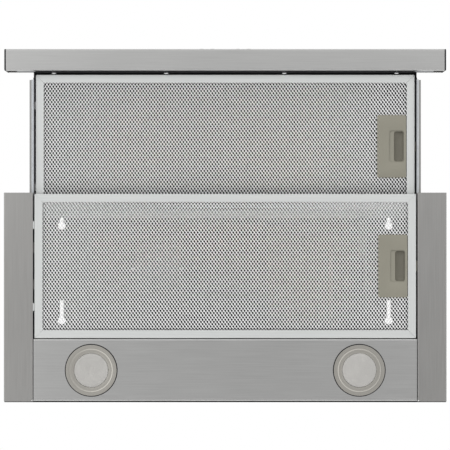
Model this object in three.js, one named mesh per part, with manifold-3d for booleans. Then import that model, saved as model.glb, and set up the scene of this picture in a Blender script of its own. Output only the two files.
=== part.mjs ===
// Pull-out cooker hood, 60 cm wide, drawn with its drawer fully out.
//
// Millimetres. +Z is up, the user stands at -Y, and +X is on their right.
// The origin lies in the plane that touches the cabinet above, 12 mm in front
// of the wall and midway between the sides.
//
// The sheet-metal tray hangs under a wall cabinet. Its drawer runs forward on
// two ball slides and carries the front panel with the push buttons. One grease
// filter hangs in the tray and one in the drawer. A double-inlet centrifugal fan
// stands in the housing above the tray and blows up through a collar with two
// non-return flaps.

import * as THREE from 'three';
import { mergeVertices } from 'three/addons/utils/BufferGeometryUtils.js';
import Module from 'manifold-3d';

const wasm = await Module();
wasm.setup();

// ---------------------------------------------------------------- dimensions

// Whole hood
const bodyWidth = 599;
const trayDepth = 283.5;
const trayHeight = 43;
const backY = 12;
const frontY = backY - trayDepth;
const underside = -trayHeight;
const sheet = 0.8;
const halfSheet = sheet / 2;
const bend = 1.2;
const bendSteps = 2;
const fit = 0.3;
const past = 5; // how far a cutter runs past the sheet that it cuts

// Side wings and tray
const wingWidth = 39.3;
const wingInner = bodyWidth / 2 - wingWidth;
const lipTop = -33.2;
const trayWall = 272.2;
const trayFlangeReach = 286;
const trayFrontY = frontY + sheet + fit;
const stiffener = { inset: 3, depth: 4 };
const wingFlange = trayWall + 1.6;
const lipStop = { offsetY: 25, reach: 6, half: 7 };
const cornerChamfer = 3;
const keyholeX = 225;
const keyholeRearY = -96.5;
const keyholeSpacingY = 130;
const keyholeRadius = 5.5;
const keyholeSlot = { width: 5, frontLength: 20, rearLength: 28 };

// Lamp panel and lamps
const panelFrontY = -73.9;
const panelHalfWidth = 259.3;
const panelLip = 9;
const panelFlangeY = -3;
const lampX = 181.3;
const lampY = -31.2;
const lampHoleRadius = 30.5;
const lampSegments = 24;
const driver = { width: 120, depth: 42, height: 21, earSpan: 148, earDepth: 24, earHeight: 2.4, holeX: 68 };
const limitSwitch = { x: -238, y0: -60, y1: -53, z0: -24, z1: -13 };
const smallHoleRadius = 2.2;

// Drawer
const travel = 165;
const drawerDepth = 200;
const closedGap = 0.5;
const drawerFrontY = frontY + closedGap - travel;
const drawerRearY = drawerFrontY + drawerDepth;
const drawerInner = 259.4;
const drawerTop = -7.1;
const drawerBottom = -31;
const coverRearY = -262;
const drawerLedge = { top: 9, over: 6, gap: 0.5 };
const spacer = { inset: 12, half: 5, z0: -20, z1: -15 };

// Front panel
const fasciaWidth = 598;
const fasciaDepth = 29;
const fasciaRearY = drawerFrontY - sheet;
const fasciaFrontY = fasciaRearY - fasciaDepth;
const fasciaTop = -3;
const fasciaLip = 8;
const capThickness = 2;
const capPlug = { reach: 8, wall: 1.5 };
const backplate = { half: 285, thickness: 1.2, margin: 3.5 };
const fasciaMiddle = (underside + fasciaTop) / 2;
const screwXs = [-233.5, -80.5, 80.5, 233.5];
const screwShankRadius = 2;
const screwHead = { radius: 4.4, height: 2.2 };

// Push buttons: two pairs
const buttonXs = [-32.3, -17.3, 17.3, 32.3];
const buttonRadius = 4.7;
const buttonProud = 2;
const buttonStemRadius = 3;
const buttonStem = 16;
const switchBody = { half: 46, halfHeight: 10, gap: 4.3 };

// Grease filters, one shape used twice
const filterWidth = 516;
const filterDepth = 195;
const filterHeight = 9;
const filterBorder = 11;
const filterSkin = 0.9;
const rearFilter = { y: -172.2, bottom: underside };
const frontFilter = { y: -334.8, bottom: -27 };
const tabOffsetY = 55.5;
const tabWidth = 10.5;
const tabReach = 4;
const tabLevel = { low: 1.1, high: 2.1 };
const tabSlotLevel = { low: 0.8, high: 6 };
const latchSlotLevel = { low: 3.3, high: 6.5 };

// Filter latch
const latchCentreX = 226.8;
const latchPlateSize = { x: 39.6, y: 85, z: 6.6 };
const latchWall = 1.2;
const latchWindow = { x0: 223.4, x1: 243.3, y: 42.7 };
const fingerRecess = { x0: 230, x1: 243, depth: 5 };
const tongueEnd = 261.6;
const tongueWidth = 14;
const tongueLevel = { low: 3.9, high: 5.9 };

// Expanded metal: the real diamonds' pitch, and how many stand for one here
const net = { pitchX: 4.38, pitchY: 6.05, merged: 8, rows: 7, columns: 14, halfX: 13, halfY: 17.5, thickness: 1 };

// Ball slides
const slideTop = -7.6;
const slideBottom = -27.4;
const fixedWebX = 271.1;
const fixedFlangeX = 264.4;
const innerWebX = 262.7;
const innerFlangeX = 266.8;
const innerTop = -12;
const innerBottom = -23;
const ballRadius = 1.6;
const ballsInRow = 3;
const cageLength = 60;
const cageWebX = 268.9;
const cageFlangeX = 264.2;
const ballX = 266;
const fixedSlideFrontY = -268;
const fixedSlideRearY = -30;
const slideScrewYs = [-240, -150, -60];

// Fan housing, collar and flaps
const housingHalfWidth = 195.7;
const housingFrontY = -235.7;
const housingRearY = -18.3;
const housingRoof = 150;
const housingFlange = 10;
const glandPlace = [150, -45, housingRoof];
const glandHoleRadius = 8.5;
const collarY = -113;
const collarRadius = 60;
const collarWall = 2;
const plenumHalf = 68;
const plenumTop = 160;
const collarTop = 192;
const collarSegments = 32;
const flapPinZ = 168;
const flapPinRadius = 2;
const flapRadius = 56.8;
const flapGap = 4.8;
const flapKnuckles = { front: [[-52, -27], [1, 26]], rear: [[-26, -1], [27, 52]], radius: 4 };

// Fan, drawn about its own shaft, which lies along X
const fanY = -165;
const fanZ = 76;
const volute = { start: 52, end: 80, cutoff: 50, wall: 2 };
const voluteHalfWidth = 56;
const outletFront = 24;
const outletTop = 72.9;
const inletRadius = 41;
const inletSegments = 20;
const impellerRadius = 48;
const bladeInnerRadius = 38.5;
const impellerHalfWidth = 49.5;
const bladeCount = 18;
const hub = { radius: 10, half: 13 };
const shaftRadius = 4;
const motorRadius = 34;
const rotor = { radius: 19.2, from: -112, to: -83 };
const stator = { teeth: 8, toothRadius: 20, slotRadius: 27, from: -112.2, to: -82.4 };
const bracket = { from: -66.1, to: -64.1, inner: 24, outer: 33, arm: 52, halfWidth: 5 };

// Electrics
const can = { radius: 15, from: 70, to: 122, z: 110, strap: [88, 104] };
const boxWall = { x: housingHalfWidth - sheet - fit, y0: -180, y1: -80, z0: 50, z1: 120, depth: 42, wall: 2 };

// ------------------------------------------------------------------ materials

const finish = (color, roughness, metalness, extra = {}) =>
  new THREE.MeshStandardMaterial({ color, roughness, metalness, ...extra });

const brushedSteel = finish(0xa9a9a7, 0.38, 0.9);
const zincSheet = finish(0xb4b6b8, 0.5, 0.85);
const brightSteel = finish(0xd6d7d8, 0.22, 1);
const blackSheet = finish(0x1b1b1c, 0.55, 0.3);
const filterAluminium = finish(0xced0cf, 0.45, 0.9);
const oliveAbs = finish(0x908d80, 0.6, 0);
const blackAbs = finish(0x18181a, 0.55, 0);
const greyAbs = finish(0x6f7173, 0.6, 0);
const frostedGlass = finish(0xb7b7b4, 0.75, 0, { transparent: true, opacity: 0.9 });
const satinNickel = finish(0x9c9896, 0.35, 0.9);
const whiteAbs = finish(0xdedede, 0.5, 0);
const copperSteel = finish(0x8a8d90, 0.45, 0.8);

// ------------------------------------------------------------- shaping helpers

/** A closed three.js geometry as a solid that can be joined and cut. */
function solid(geometry) {
  const bare = geometry.clone();
  bare.deleteAttribute('normal');
  bare.deleteAttribute('uv');
  const merged = mergeVertices(bare, 1e-4);
  const mesh = new wasm.Mesh({
    numProp: 3,
    vertProperties: new Float32Array(merged.attributes.position.array),
    triVerts: new Uint32Array(merged.index.array),
  });
  return new wasm.Manifold(mesh);
}

/** The finished solid as a geometry for a mesh. */
function geometryOf(manifold) {
  const mesh = manifold.getMesh();
  const geometry = new THREE.BufferGeometry();
  geometry.setAttribute('position', new THREE.BufferAttribute(mesh.vertProperties, 3));
  geometry.setIndex(new THREE.BufferAttribute(mesh.triVerts, 1));
  const faceted = geometry.toNonIndexed();
  faceted.computeVertexNormals();
  return faceted;
}

const join = (first, ...others) => others.reduce((sum, next) => sum.add(next), first);
const cut = (first, ...others) => others.reduce((rest, next) => rest.subtract(next), first);

/** A box between two x, two y and two z values, given in any order. */
function block(x, y, z) {
  const size = [x, y, z].map(([a, b]) => Math.abs(b - a));
  const middle = [x, y, z].map(([a, b]) => (a + b) / 2);
  return new THREE.BoxGeometry(...size).translate(...middle);
}

const box = (x, y, z) => solid(block(x, y, z));

/** A shape drawn in X and Y, raised from z0 to z1. */
function extrudeZ(shape, z0, z1, curveSegments = 12) {
  const options = { depth: z1 - z0, bevelEnabled: false, curveSegments };
  return new THREE.ExtrudeGeometry(shape, options).translate(0, 0, z0);
}

/** A shape drawn in X and Z, run from y0 to y1. */
function extrudeY(shape, y0, y1, curveSegments = 12) {
  const options = { depth: y1 - y0, bevelEnabled: false, curveSegments };
  return new THREE.ExtrudeGeometry(shape, options).rotateX(Math.PI / 2).translate(0, y1, 0);
}

/** A shape drawn in Y and Z, run from x0 to x1. */
function extrudeX(shape, x0, x1, curveSegments = 12) {
  const options = { depth: x1 - x0, bevelEnabled: false, curveSegments };
  const turn = new THREE.Matrix4().makeBasis(
    new THREE.Vector3(0, 1, 0),
    new THREE.Vector3(0, 0, 1),
    new THREE.Vector3(1, 0, 0),
  );
  return new THREE.ExtrudeGeometry(shape, options).applyMatrix4(turn).translate(x0, 0, 0);
}

/** A profile of [radius, height] pairs, in either direction round, turned about Z. */
function turned(profile, segments = 32) {
  const points = profile.map(([radius, height]) => new THREE.Vector2(radius, height));
  if (THREE.ShapeUtils.area(points) < 0) {
    points.reverse();
  }
  return new THREE.LatheGeometry(points, segments).rotateX(Math.PI / 2);
}

/** The same, turned about X, with heights measured along +X. */
const turnedX = (profile, segments) => turned(profile, segments).rotateY(Math.PI / 2);

/** The same, turned about Y, with heights measured along +Y. */
const turnedY = (profile, segments) => turned(profile, segments).rotateX(-Math.PI / 2);

/** A round bar or drill between two heights, for use with turned profiles. */
const rod = (radius, from, to) => [[0, from], [radius, from], [radius, to], [0, to]];

/** A ring between two radii and two heights, closed on itself. */
const ring = (inner, outer, from, to) => [
  [inner, from],
  [outer, from],
  [outer, to],
  [inner, to],
  [inner, from],
];

function polygon(points) {
  return new THREE.Shape(points.map(([u, v]) => new THREE.Vector2(u, v)));
}

function rectangle(u0, u1, v0, v1) {
  return polygon([[u0, v0], [u1, v0], [u1, v1], [u0, v1]]);
}

/** A rectangle with round corners, centred on u, v. */
function roundedRectangle(u, v, width, height, radius) {
  const [w, h] = [width / 2, height / 2];
  const shape = new THREE.Shape();
  shape.absarc(u + w - radius, v - h + radius, radius, -Math.PI / 2, 0, false);
  shape.absarc(u + w - radius, v + h - radius, radius, 0, Math.PI / 2, false);
  shape.absarc(u - w + radius, v + h - radius, radius, Math.PI / 2, Math.PI, false);
  shape.absarc(u - w + radius, v - h + radius, radius, Math.PI, 1.5 * Math.PI, false);
  return shape;
}

/** The outline of a folded sheet: its middle line, given as corners, thickened, with round bends. */
function foldedSheet(corners, thickness = sheet, radius = bend) {
  const line = corners.map(([u, v]) => new THREE.Vector2(u, v));
  const left = [];
  const right = [];
  const place = (point, normal) => {
    left.push(point.clone().addScaledVector(normal, thickness / 2));
    right.push(point.clone().addScaledVector(normal, -thickness / 2));
  };
  const leftOf = (direction) => new THREE.Vector2(-direction.y, direction.x);
  line.forEach((corner, i) => {
    const before = i > 0 ? corner.clone().sub(line[i - 1]).normalize() : null;
    const after = i < line.length - 1 ? line[i + 1].clone().sub(corner).normalize() : null;
    if (!before || !after) {
      place(corner, leftOf(before ?? after));
      return;
    }
    const turn = Math.atan2(before.cross(after), before.dot(after));
    const setback = radius * Math.tan(Math.abs(turn) / 2);
    const toCentre = leftOf(before).multiplyScalar(Math.sign(turn) * radius);
    const centre = corner.clone().addScaledVector(before, -setback).add(toCentre);
    for (let step = 0; step <= bendSteps; step += 1) {
      const normal = leftOf(before).rotateAround(new THREE.Vector2(), (turn * step) / bendSteps);
      place(centre.clone().addScaledVector(normal, -Math.sign(turn) * radius), normal);
    }
  });
  return new THREE.Shape([...left, ...right.reverse()]);
}

function part(name, geometry, material) {
  const mesh = new THREE.Mesh(geometry, material);
  mesh.name = name;
  return mesh;
}

const solidPart = (name, manifold, material) => part(name, geometryOf(manifold), material);

const sideName = (side) => (side < 0 ? 'left' : 'right');

// ------------------------------------------------------------------- the body

/** A keyhole: a round end for the screw head at the rear and a slot running forward. */
function keyholeOutline(x, y, slotLength) {
  const half = keyholeSlot.width / 2;
  const shoulder = Math.acos(half / keyholeRadius);
  const hole = new THREE.Shape();
  hole.absarc(x, y, keyholeRadius, -shoulder, Math.PI + shoulder, false);
  hole.absarc(x, y - slotLength + half, half, Math.PI, 2 * Math.PI, false);
  return hole;
}

/** The tray is one sheet: flat top, two side walls and a flange outward at each foot. */
function baseTray() {
  const foot = underside + sheet + fit + halfSheet;
  const profile = foldedSheet([
    [trayFlangeReach, foot],
    [trayWall, foot],
    [trayWall, -halfSheet],
    [-trayWall, -halfSheet],
    [-trayWall, foot],
    [-trayFlangeReach, foot],
  ]);
  const body = solid(extrudeY(profile, trayFrontY, backY - 1));
  const reach = trayWall - stiffener.inset;
  const frontEdge = box([-reach, reach], [trayFrontY, trayFrontY + sheet], [-stiffener.depth, -halfSheet]);
  const fanOpening = box(
    [-housingHalfWidth - fit, housingHalfWidth + fit],
    [housingFrontY - fit, housingRearY + fit],
    [-past, past],
  );
  const keyholes = [-keyholeX, keyholeX].flatMap((x) => [
    extrudeZ(keyholeOutline(x, keyholeRearY, keyholeSlot.rearLength), -past, past, 6),
    extrudeZ(keyholeOutline(x, keyholeRearY - keyholeSpacingY, keyholeSlot.frontLength), -past, past, 6),
  ]);
  const tray = cut(join(body, frontEdge), fanOpening, ...keyholes.map(solid));
  return solidPart('base_tray', tray, blackSheet);
}

/** A wing fills the width beside the tray. Its inner lip holds one side of the rear filter. */
function wing(side) {
  const inner = wingInner + halfSheet;
  const outer = bodyWidth / 2 - halfSheet;
  const profile = foldedSheet([
    [side * inner, lipTop],
    [side * inner, underside + halfSheet],
    [side * outer, underside + halfSheet],
    [side * outer, -halfSheet],
    [side * wingFlange, -halfSheet],
  ]);
  const folded = solid(extrudeY(profile, frontY, backY));
  const frontClosure = box(
    [side * wingFlange, side * outer],
    [frontY, frontY + sheet],
    [underside + halfSheet, -halfSheet],
  );
  const lipStops = [-lipStop.offsetY, lipStop.offsetY].map((offset) => {
    const y = rearFilter.y + offset;
    return box(
      [side * (inner - lipStop.reach), side * inner],
      [y - lipStop.half, y + lipStop.half],
      [lipTop - halfSheet, lipTop + halfSheet],
    );
  });
  const cornerHalf = cornerChamfer / Math.SQRT2;
  const cornerCut = box([-cornerHalf, cornerHalf], [-cornerHalf, cornerHalf], [-2, 3]);
  const chamfer = cornerCut.rotate([0, 0, 45]).translate([side * wingInner, backY, underside]);
  const slots = side < 0 ? tabSlots(rearFilter, wingInner) : [tongueSlot(rearFilter, wingInner)];
  const finished = cut(join(folded, frontClosure, ...lipStops), chamfer, ...slots);
  return solidPart(`${sideName(side)}_side_wing`, finished, brushedSteel);
}

/** Slots in a wall on the left, which take the two tabs of a filter. */
function tabSlots(filter, wallX) {
  return [-tabOffsetY, tabOffsetY].map((offset) => {
    const y = filter.y + offset;
    const half = tabWidth / 2 + 1;
    return box(
      [-wallX - 3, -wallX + 2],
      [y - half, y + half],
      [filter.bottom + tabSlotLevel.low, filter.bottom + tabSlotLevel.high],
    );
  });
}

/** The slot in a wall on the right, which takes the latch tongue of a filter. */
function tongueSlot(filter, wallX) {
  const half = tongueWidth / 2 + 1;
  return box(
    [wallX - 2, wallX + 3],
    [filter.y - half, filter.y + half],
    [filter.bottom + latchSlotLevel.low - 0.1, filter.bottom + latchSlotLevel.high + 0.1],
  );
}

/** The panel behind the rear filter: it carries both lamps and closes the back of the tray. */
function lampPanel() {
  const topFlange = -sheet - fit - halfSheet;
  const profile = foldedSheet([
    [panelFrontY + halfSheet, underside + panelLip],
    [panelFrontY + halfSheet, underside + halfSheet],
    [backY - 1 - halfSheet, underside + halfSheet],
    [backY - 1 - halfSheet, topFlange],
    [panelFlangeY, topFlange],
  ]);
  const panel = solid(extrudeX(profile, -panelHalfWidth, panelHalfWidth));
  const holes = [-lampX, lampX].map((x) =>
    solid(turned(rod(lampHoleRadius, -past, past), lampSegments).translate(x, lampY, underside)),
  );
  return solidPart('lamp_panel', cut(panel, ...holes), brushedSteel);
}

/** A recessed lamp: bezel from below, frosted lens above its ring, finned body on top. */
function lamp(side) {
  const bezel = turned([
    [35.5, -0.3],
    [35.5, -1],
    [34.4, -1.6],
    [28.4, -1.6],
    [27.8, -1],
    [23.2, -1.2],
    [23.2, 1.2],
    [28.3, 1.2],
    [28.3, 8],
    [29.8, 8],
    [29.8, -0.3],
    [35.5, -0.3],
  ], lampSegments);
  const lens = turned([
    [0, -1.3],
    [22.9, -0.8],
    [22.9, 1.5],
    [27.8, 1.5],
    [27.8, 2.8],
    [0, 2.8],
  ], lampSegments);
  const fins = [9.5, 14.5].flatMap((z) => [
    [27.9, z],
    [23, z],
    [23, z + 2.2],
    [27.9, z + 2.2],
  ]);
  const body = turned([[0, 3.1], [27.9, 3.1], ...fins, [27.9, 20], [0, 22]], 16);
  const group = new THREE.Group();
  group.position.set(side * lampX, lampY, underside);
  group.add(
    part(`${sideName(side)}_lamp_bezel`, bezel, satinNickel),
    part(`${sideName(side)}_lamp_lens`, lens, frostedGlass),
    part(`${sideName(side)}_lamp_body`, body, copperSteel),
  );
  return group;
}

/** The LED driver stands on the lamp panel between the lamps, on two screwed ears. */
function ledDriver() {
  const floor = underside + sheet + fit;
  const { width, depth, height, earSpan, earDepth, earHeight, holeX } = driver;
  const shell = extrudeZ(roundedRectangle(0, lampY, width, depth, 3), floor, floor + height, 2);
  const base = extrudeZ(roundedRectangle(0, lampY, earSpan, earDepth, 6), floor, floor + earHeight, 2);
  const holes = [-holeX, holeX].map((x) =>
    solid(turned(rod(smallHoleRadius, -past, past), 8).translate(x, lampY, floor)),
  );
  const sockets = box([-8, 8], [lampY + depth / 2 - past, lampY + depth / 2 + past], [floor + 6, floor + 14]);
  return solidPart('led_driver', cut(join(solid(shell), solid(base)), sockets, ...holes), whiteAbs);
}

/** The limit switch that the drawer's end reaches when it is pushed in: case, bracket, foot, plunger. */
function drawerSwitch() {
  const { x, y0, y1, z0, z1 } = limitSwitch;
  const tray = -sheet - fit;
  const wide = (half, y, z) => box([x - half, x + half], y, z);
  const body = join(
    wide(10, [y0, y1], [z0, z1]),
    wide(8, [y0 + 3, y0 + 4], [z1 - 0.5, tray]),
    wide(8, [y0 + 3, y1 + 4], [tray - 1, tray]),
    wide(3, [y0 - 3, y0 + 0.5], [z0 + 4, z0 + 7]),
  );
  const rivets = [x - 5, x + 5].map((rivetX) =>
    solid(turnedY(rod(1.6, y0 - past, y1 + past), 10).translate(rivetX, 0, z0 + smallHoleRadius)),
  );
  return solidPart('drawer_switch', cut(body, ...rivets), blackAbs);
}

// ------------------------------------------------------------- slides (a pair)

/** The slide member screwed to the tray wall: a channel, open towards the drawer. */
function fixedSlide(side) {
  const profile = foldedSheet([
    [side * fixedFlangeX, slideBottom + halfSheet],
    [side * fixedWebX, slideBottom + halfSheet],
    [side * fixedWebX, slideTop - halfSheet],
    [side * fixedFlangeX, slideTop - halfSheet],
  ]);
  const channel = solid(extrudeY(profile, fixedSlideFrontY, fixedSlideRearY));
  const middleZ = (slideTop + slideBottom) / 2;
  const screwHoles = slideScrewYs.map((y) =>
    solid(turnedX(rod(smallHoleRadius, -past, past), 12).translate(side * fixedWebX, y, middleZ)),
  );
  const stop = box(
    [side * (fixedFlangeX + 2), side * fixedWebX],
    [fixedSlideRearY - 3, fixedSlideRearY - 1],
    [middleZ - 4, middleZ + 4],
  );
  return solidPart(`${sideName(side)}_fixed_slide`, cut(join(channel, stop), ...screwHoles), zincSheet);
}

/** The slide member riveted to the drawer: the smaller channel that runs in the balls. */
function drawerSlide(side) {
  const profile = foldedSheet([
    [side * innerFlangeX, innerBottom + halfSheet],
    [side * innerWebX, innerBottom + halfSheet],
    [side * innerWebX, innerTop - halfSheet],
    [side * innerFlangeX, innerTop - halfSheet],
  ]);
  const channel = extrudeY(profile, drawerFrontY + 10.5, drawerRearY - 2);
  return part(`${sideName(side)}_drawer_slide`, channel, brightSteel);
}

/** The cage between them: a bent strip with a row of balls in each flange. */
function ballCage(side) {
  const lowRow = (slideBottom + sheet + innerBottom) / 2;
  const highRow = (slideTop - sheet + innerTop) / 2;
  const front = frontY + 3;
  const profile = foldedSheet([
    [side * cageFlangeX, lowRow],
    [side * cageWebX, lowRow],
    [side * cageWebX, highRow],
    [side * cageFlangeX, highRow],
  ]);
  const strip = solid(extrudeY(profile, front, front + cageLength));
  const pitch = cageLength / ballsInRow;
  const balls = [lowRow, highRow].flatMap((z) =>
    Array.from({ length: ballsInRow }, (_, i) =>
      solid(new THREE.SphereGeometry(ballRadius, 6, 4).translate(side * ballX, front + pitch * (i + 0.5), z)),
    ),
  );
  return solidPart(`${sideName(side)}_ball_cage`, join(strip, ...balls), brightSteel);
}

// ------------------------------------------------------------------ the drawer

/** Drills for the four screws of the front panel, through the sheet at y. */
const fasciaScrewHoles = (y) =>
  screwXs.map((x) =>
    solid(turnedY(rod(screwShankRadius + 0.5, -past, past), 8).translate(x, y, fasciaMiddle)),
  );

/** Drawer frame: two sides, the front wall, the ledges over the filter and the slide spacers. */
function drawerFrame() {
  const outer = drawerInner + sheet;
  const ledge = frontFilter.bottom + filterHeight + drawerLedge.gap;
  const perSide = [-1, 1].flatMap((side) => [
    box([side * drawerInner, side * outer], [drawerFrontY, drawerRearY], [drawerBottom, drawerTop]),
    box(
      [side * (outer - drawerLedge.top), side * outer],
      [drawerFrontY, drawerRearY],
      [drawerTop - sheet, drawerTop],
    ),
    box(
      [side * (drawerInner - drawerLedge.over), side * outer],
      [drawerFrontY, drawerRearY],
      [ledge, ledge + sheet],
    ),
    ...[drawerFrontY + spacer.inset, drawerRearY - spacer.inset].map((y) =>
      box(
        [side * drawerInner, side * (innerWebX - halfSheet - fit)],
        [y - spacer.half, y + spacer.half],
        [spacer.z0, spacer.z1],
      ),
    ),
  ]);
  const frontWall = box([-outer, outer], [drawerFrontY, drawerFrontY + sheet], [drawerBottom - 2, drawerTop]);
  const frontFlange = box(
    [-outer, outer],
    [drawerFrontY, drawerFrontY + drawerLedge.top],
    [drawerTop - sheet, drawerTop],
  );
  const screwHoles = fasciaScrewHoles(drawerFrontY);
  const openings = [...tabSlots(frontFilter, drawerInner), tongueSlot(frontFilter, drawerInner)];
  const frame = cut(join(frontWall, frontFlange, ...perSide), ...openings, ...screwHoles);
  return solidPart('drawer_frame', frame, blackSheet);
}

/** The lid of the drawer leads the air from the front filter back under the fan. */
function drawerCover() {
  const bottom = drawerTop + fit;
  const lid = box([-drawerInner, drawerInner], [drawerFrontY + 0.2, coverRearY], [bottom, bottom + sheet]);
  const beadHalf = drawerInner - 2 * drawerLedge.over;
  const rearBead = box([-beadHalf, beadHalf], [coverRearY - sheet, coverRearY], [bottom - 3, bottom + halfSheet]);
  return solidPart('drawer_cover', join(lid, rearBead), blackSheet);
}

/** The front panel is a folded channel, open to the rear, with a hole for each button. */
function fascia() {
  const half = fasciaWidth / 2 - capThickness - fit;
  const front = fasciaFrontY + halfSheet;
  const rear = fasciaRearY - halfSheet;
  const low = underside + halfSheet;
  const high = fasciaTop - halfSheet;
  const profile = foldedSheet([
    [rear, low + fasciaLip],
    [rear, low],
    [front, low],
    [front, high],
    [rear, high],
    [rear, high - fasciaLip],
  ]);
  const channel = solid(extrudeX(profile, -half, half));
  const holes = buttonXs.map((x) =>
    solid(turnedY(rod(buttonRadius + 0.4, -past, past), 16).translate(x, fasciaFrontY, fasciaMiddle)),
  );
  return solidPart('fascia', cut(channel, ...holes), brushedSteel);
}

/** The strip inside the fascia that the four screws pull against its lips. */
function fasciaBackplate() {
  const rear = fasciaRearY - sheet - fit;
  const { half, thickness, margin } = backplate;
  const plate = box([-half, half], [rear - thickness, rear], [underside + margin, fasciaTop - margin]);
  return solidPart('fascia_backplate', cut(plate, ...fasciaScrewHoles(rear)), zincSheet);
}

/** A moulded cap closes each end of the fascia, with a rim that plugs into the channel. */
function fasciaCap(side) {
  const inner = fasciaWidth / 2 - capThickness;
  const outer = fasciaWidth / 2;
  const middleY = (fasciaFrontY + fasciaRearY) / 2;
  const height = fasciaTop - underside;
  const [low, high] = [side * inner, side * outer].sort((a, b) => a - b);
  const face = extrudeX(roundedRectangle(middleY, fasciaMiddle, fasciaDepth, height, 1.5), low, high, 3);
  const wall = sheet + 0.6;
  const plug = (inset, from, to) =>
    box(
      [side * from, side * to],
      [fasciaFrontY + inset, fasciaRearY - inset - 1],
      [underside + inset, fasciaTop - inset],
    );
  const { reach, wall: rimWall } = capPlug;
  const rim = cut(plug(wall, inner - reach, inner + 0.5), plug(wall + rimWall, inner - reach - 1, inner));
  return solidPart(`fascia_cap_${sideName(side)}`, join(solid(face), rim), blackAbs);
}

/** A pan-head screw through the drawer's front wall, its head towards the filter. */
function fasciaScrew(x, index) {
  const screw = turnedY([
    [0, -10],
    [screwShankRadius, -9.2],
    [screwShankRadius, 0],
    [screwHead.radius, 0],
    [screwHead.radius - 0.5, 0.6 * screwHead.height],
    [0.6 * screwHead.radius, 0.92 * screwHead.height],
    [0, screwHead.height],
  ], 10);
  const mesh = part(`fascia_screw_${index + 1}`, screw, brightSteel);
  mesh.position.set(x, drawerFrontY + sheet + fit, fasciaMiddle);
  return mesh;
}

/** The switch block behind the buttons: one well for each stem. */
function switchBlock() {
  const { half, halfHeight, gap } = switchBody;
  const front = fasciaFrontY + gap;
  const rear = fasciaRearY - sheet - 2 * fit - backplate.thickness;
  const body = box([-half, half], [front, rear], [fasciaMiddle - halfHeight, fasciaMiddle + halfHeight]);
  const waist = box([-7, 7], [front - 1, front + 12], [fasciaMiddle - halfHeight - 1, fasciaMiddle + halfHeight + 1]);
  const wells = buttonXs.map((x) =>
    solid(turnedY(rod(buttonStemRadius + 0.5, -1, buttonStem + 1), 8).translate(x, front, fasciaMiddle)),
  );
  return solidPart('switch_block', cut(body, waist, ...wells), greyAbs);
}

/** A push button: a slightly domed cap with a stem. */
function pushButton(x, index) {
  const shape = turnedY([
    [0, -buttonProud],
    [buttonRadius - 1, -buttonProud + 0.3],
    [buttonRadius, -buttonProud + 1],
    [buttonRadius, 2],
    [buttonStemRadius, 2],
    [buttonStemRadius, buttonStem],
    [0, buttonStem],
  ], 16);
  const mesh = part(`push_button_${index + 1}`, shape, brightSteel);
  mesh.position.set(x, fasciaFrontY, fasciaMiddle);
  return mesh;
}

// ------------------------------------------------------------- grease filters

/** Rolled aluminium channel round the mesh, with two tabs on the left and a slot on the right. */
function filterFrame() {
  const [w, d] = [filterWidth / 2, filterDepth / 2];
  const windowX = w - filterBorder;
  const windowY = d - filterBorder;
  const body = box([-w, w], [-d, d], [0, filterHeight]);
  const opening = box([-windowX, windowX], [-windowY, windowY], [-1, filterHeight + 1]);
  const groove = box(
    [-w + filterSkin, w - filterSkin],
    [-d + filterSkin, d - filterSkin],
    [filterSkin, filterHeight - filterSkin],
  );
  const upperWindow = box(
    [-windowX - 4, windowX + 4],
    [-windowY - 4, windowY + 4],
    [filterHeight - filterSkin - 1, filterHeight + 1],
  );
  const tabs = [-tabOffsetY, tabOffsetY].map((y) =>
    box([-w - tabReach, -w + halfSheet], [y - tabWidth / 2, y + tabWidth / 2], [tabLevel.low, tabLevel.high]),
  );
  const half = tongueWidth / 2 + 0.6;
  const slot = box([w - 3, w + 1], [-half, half], [latchSlotLevel.low, latchSlotLevel.high]);
  return cut(join(cut(body, opening, groove, upperWindow), ...tabs), slot);
}

/**
 * The expanded-metal sheet: diamonds in staggered rows, each standing for 8 x 8 small ones.
 * The corners stay whole, because no screw passes through the small ones below a keyhole.
 */
function filterNet() {
  const { rows, columns, halfX: diamondX, halfY: diamondY } = net;
  const pitchX = net.merged * net.pitchX;
  const rowPitch = (net.merged * net.pitchY) / 2;
  const border = 3;
  const halfX = filterWidth / 2 - filterSkin - fit;
  const halfY = filterDepth / 2 - filterSkin - fit;
  const plate = rectangle(-halfX, halfX, -halfY, halfY);
  const latchZone = {
    x0: latchCentreX - latchPlateSize.x / 2 - fit,
    x1: latchCentreX + latchPlateSize.x / 2 + fit,
    y: latchPlateSize.y / 2 + fit,
  };
  for (let row = 0; row < rows; row += 1) {
    const y = (row - (rows - 1) / 2) * rowPitch;
    const staggered = row % 2;
    for (let column = 0; column < columns - staggered; column += 1) {
      const x = (column - (columns - 1 - staggered) / 2) * pitchX;
      const atLatch = x + diamondX > latchZone.x0 - border && Math.abs(y) - diamondY < latchZone.y + border;
      const atCorner = row % (rows - 1) === 0 && Math.abs(x) > keyholeX;
      if (!atLatch && !atCorner) {
        plate.holes.push(
          polygon([[x - diamondX, y], [x, y - diamondY], [x + diamondX, y], [x, y + diamondY]]),
        );
      }
    }
  }
  plate.holes.push(rectangle(latchZone.x0, latchZone.x1, -latchZone.y, latchZone.y));
  return extrudeZ(plate, filterSkin + fit, filterSkin + fit + net.thickness);
}

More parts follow.
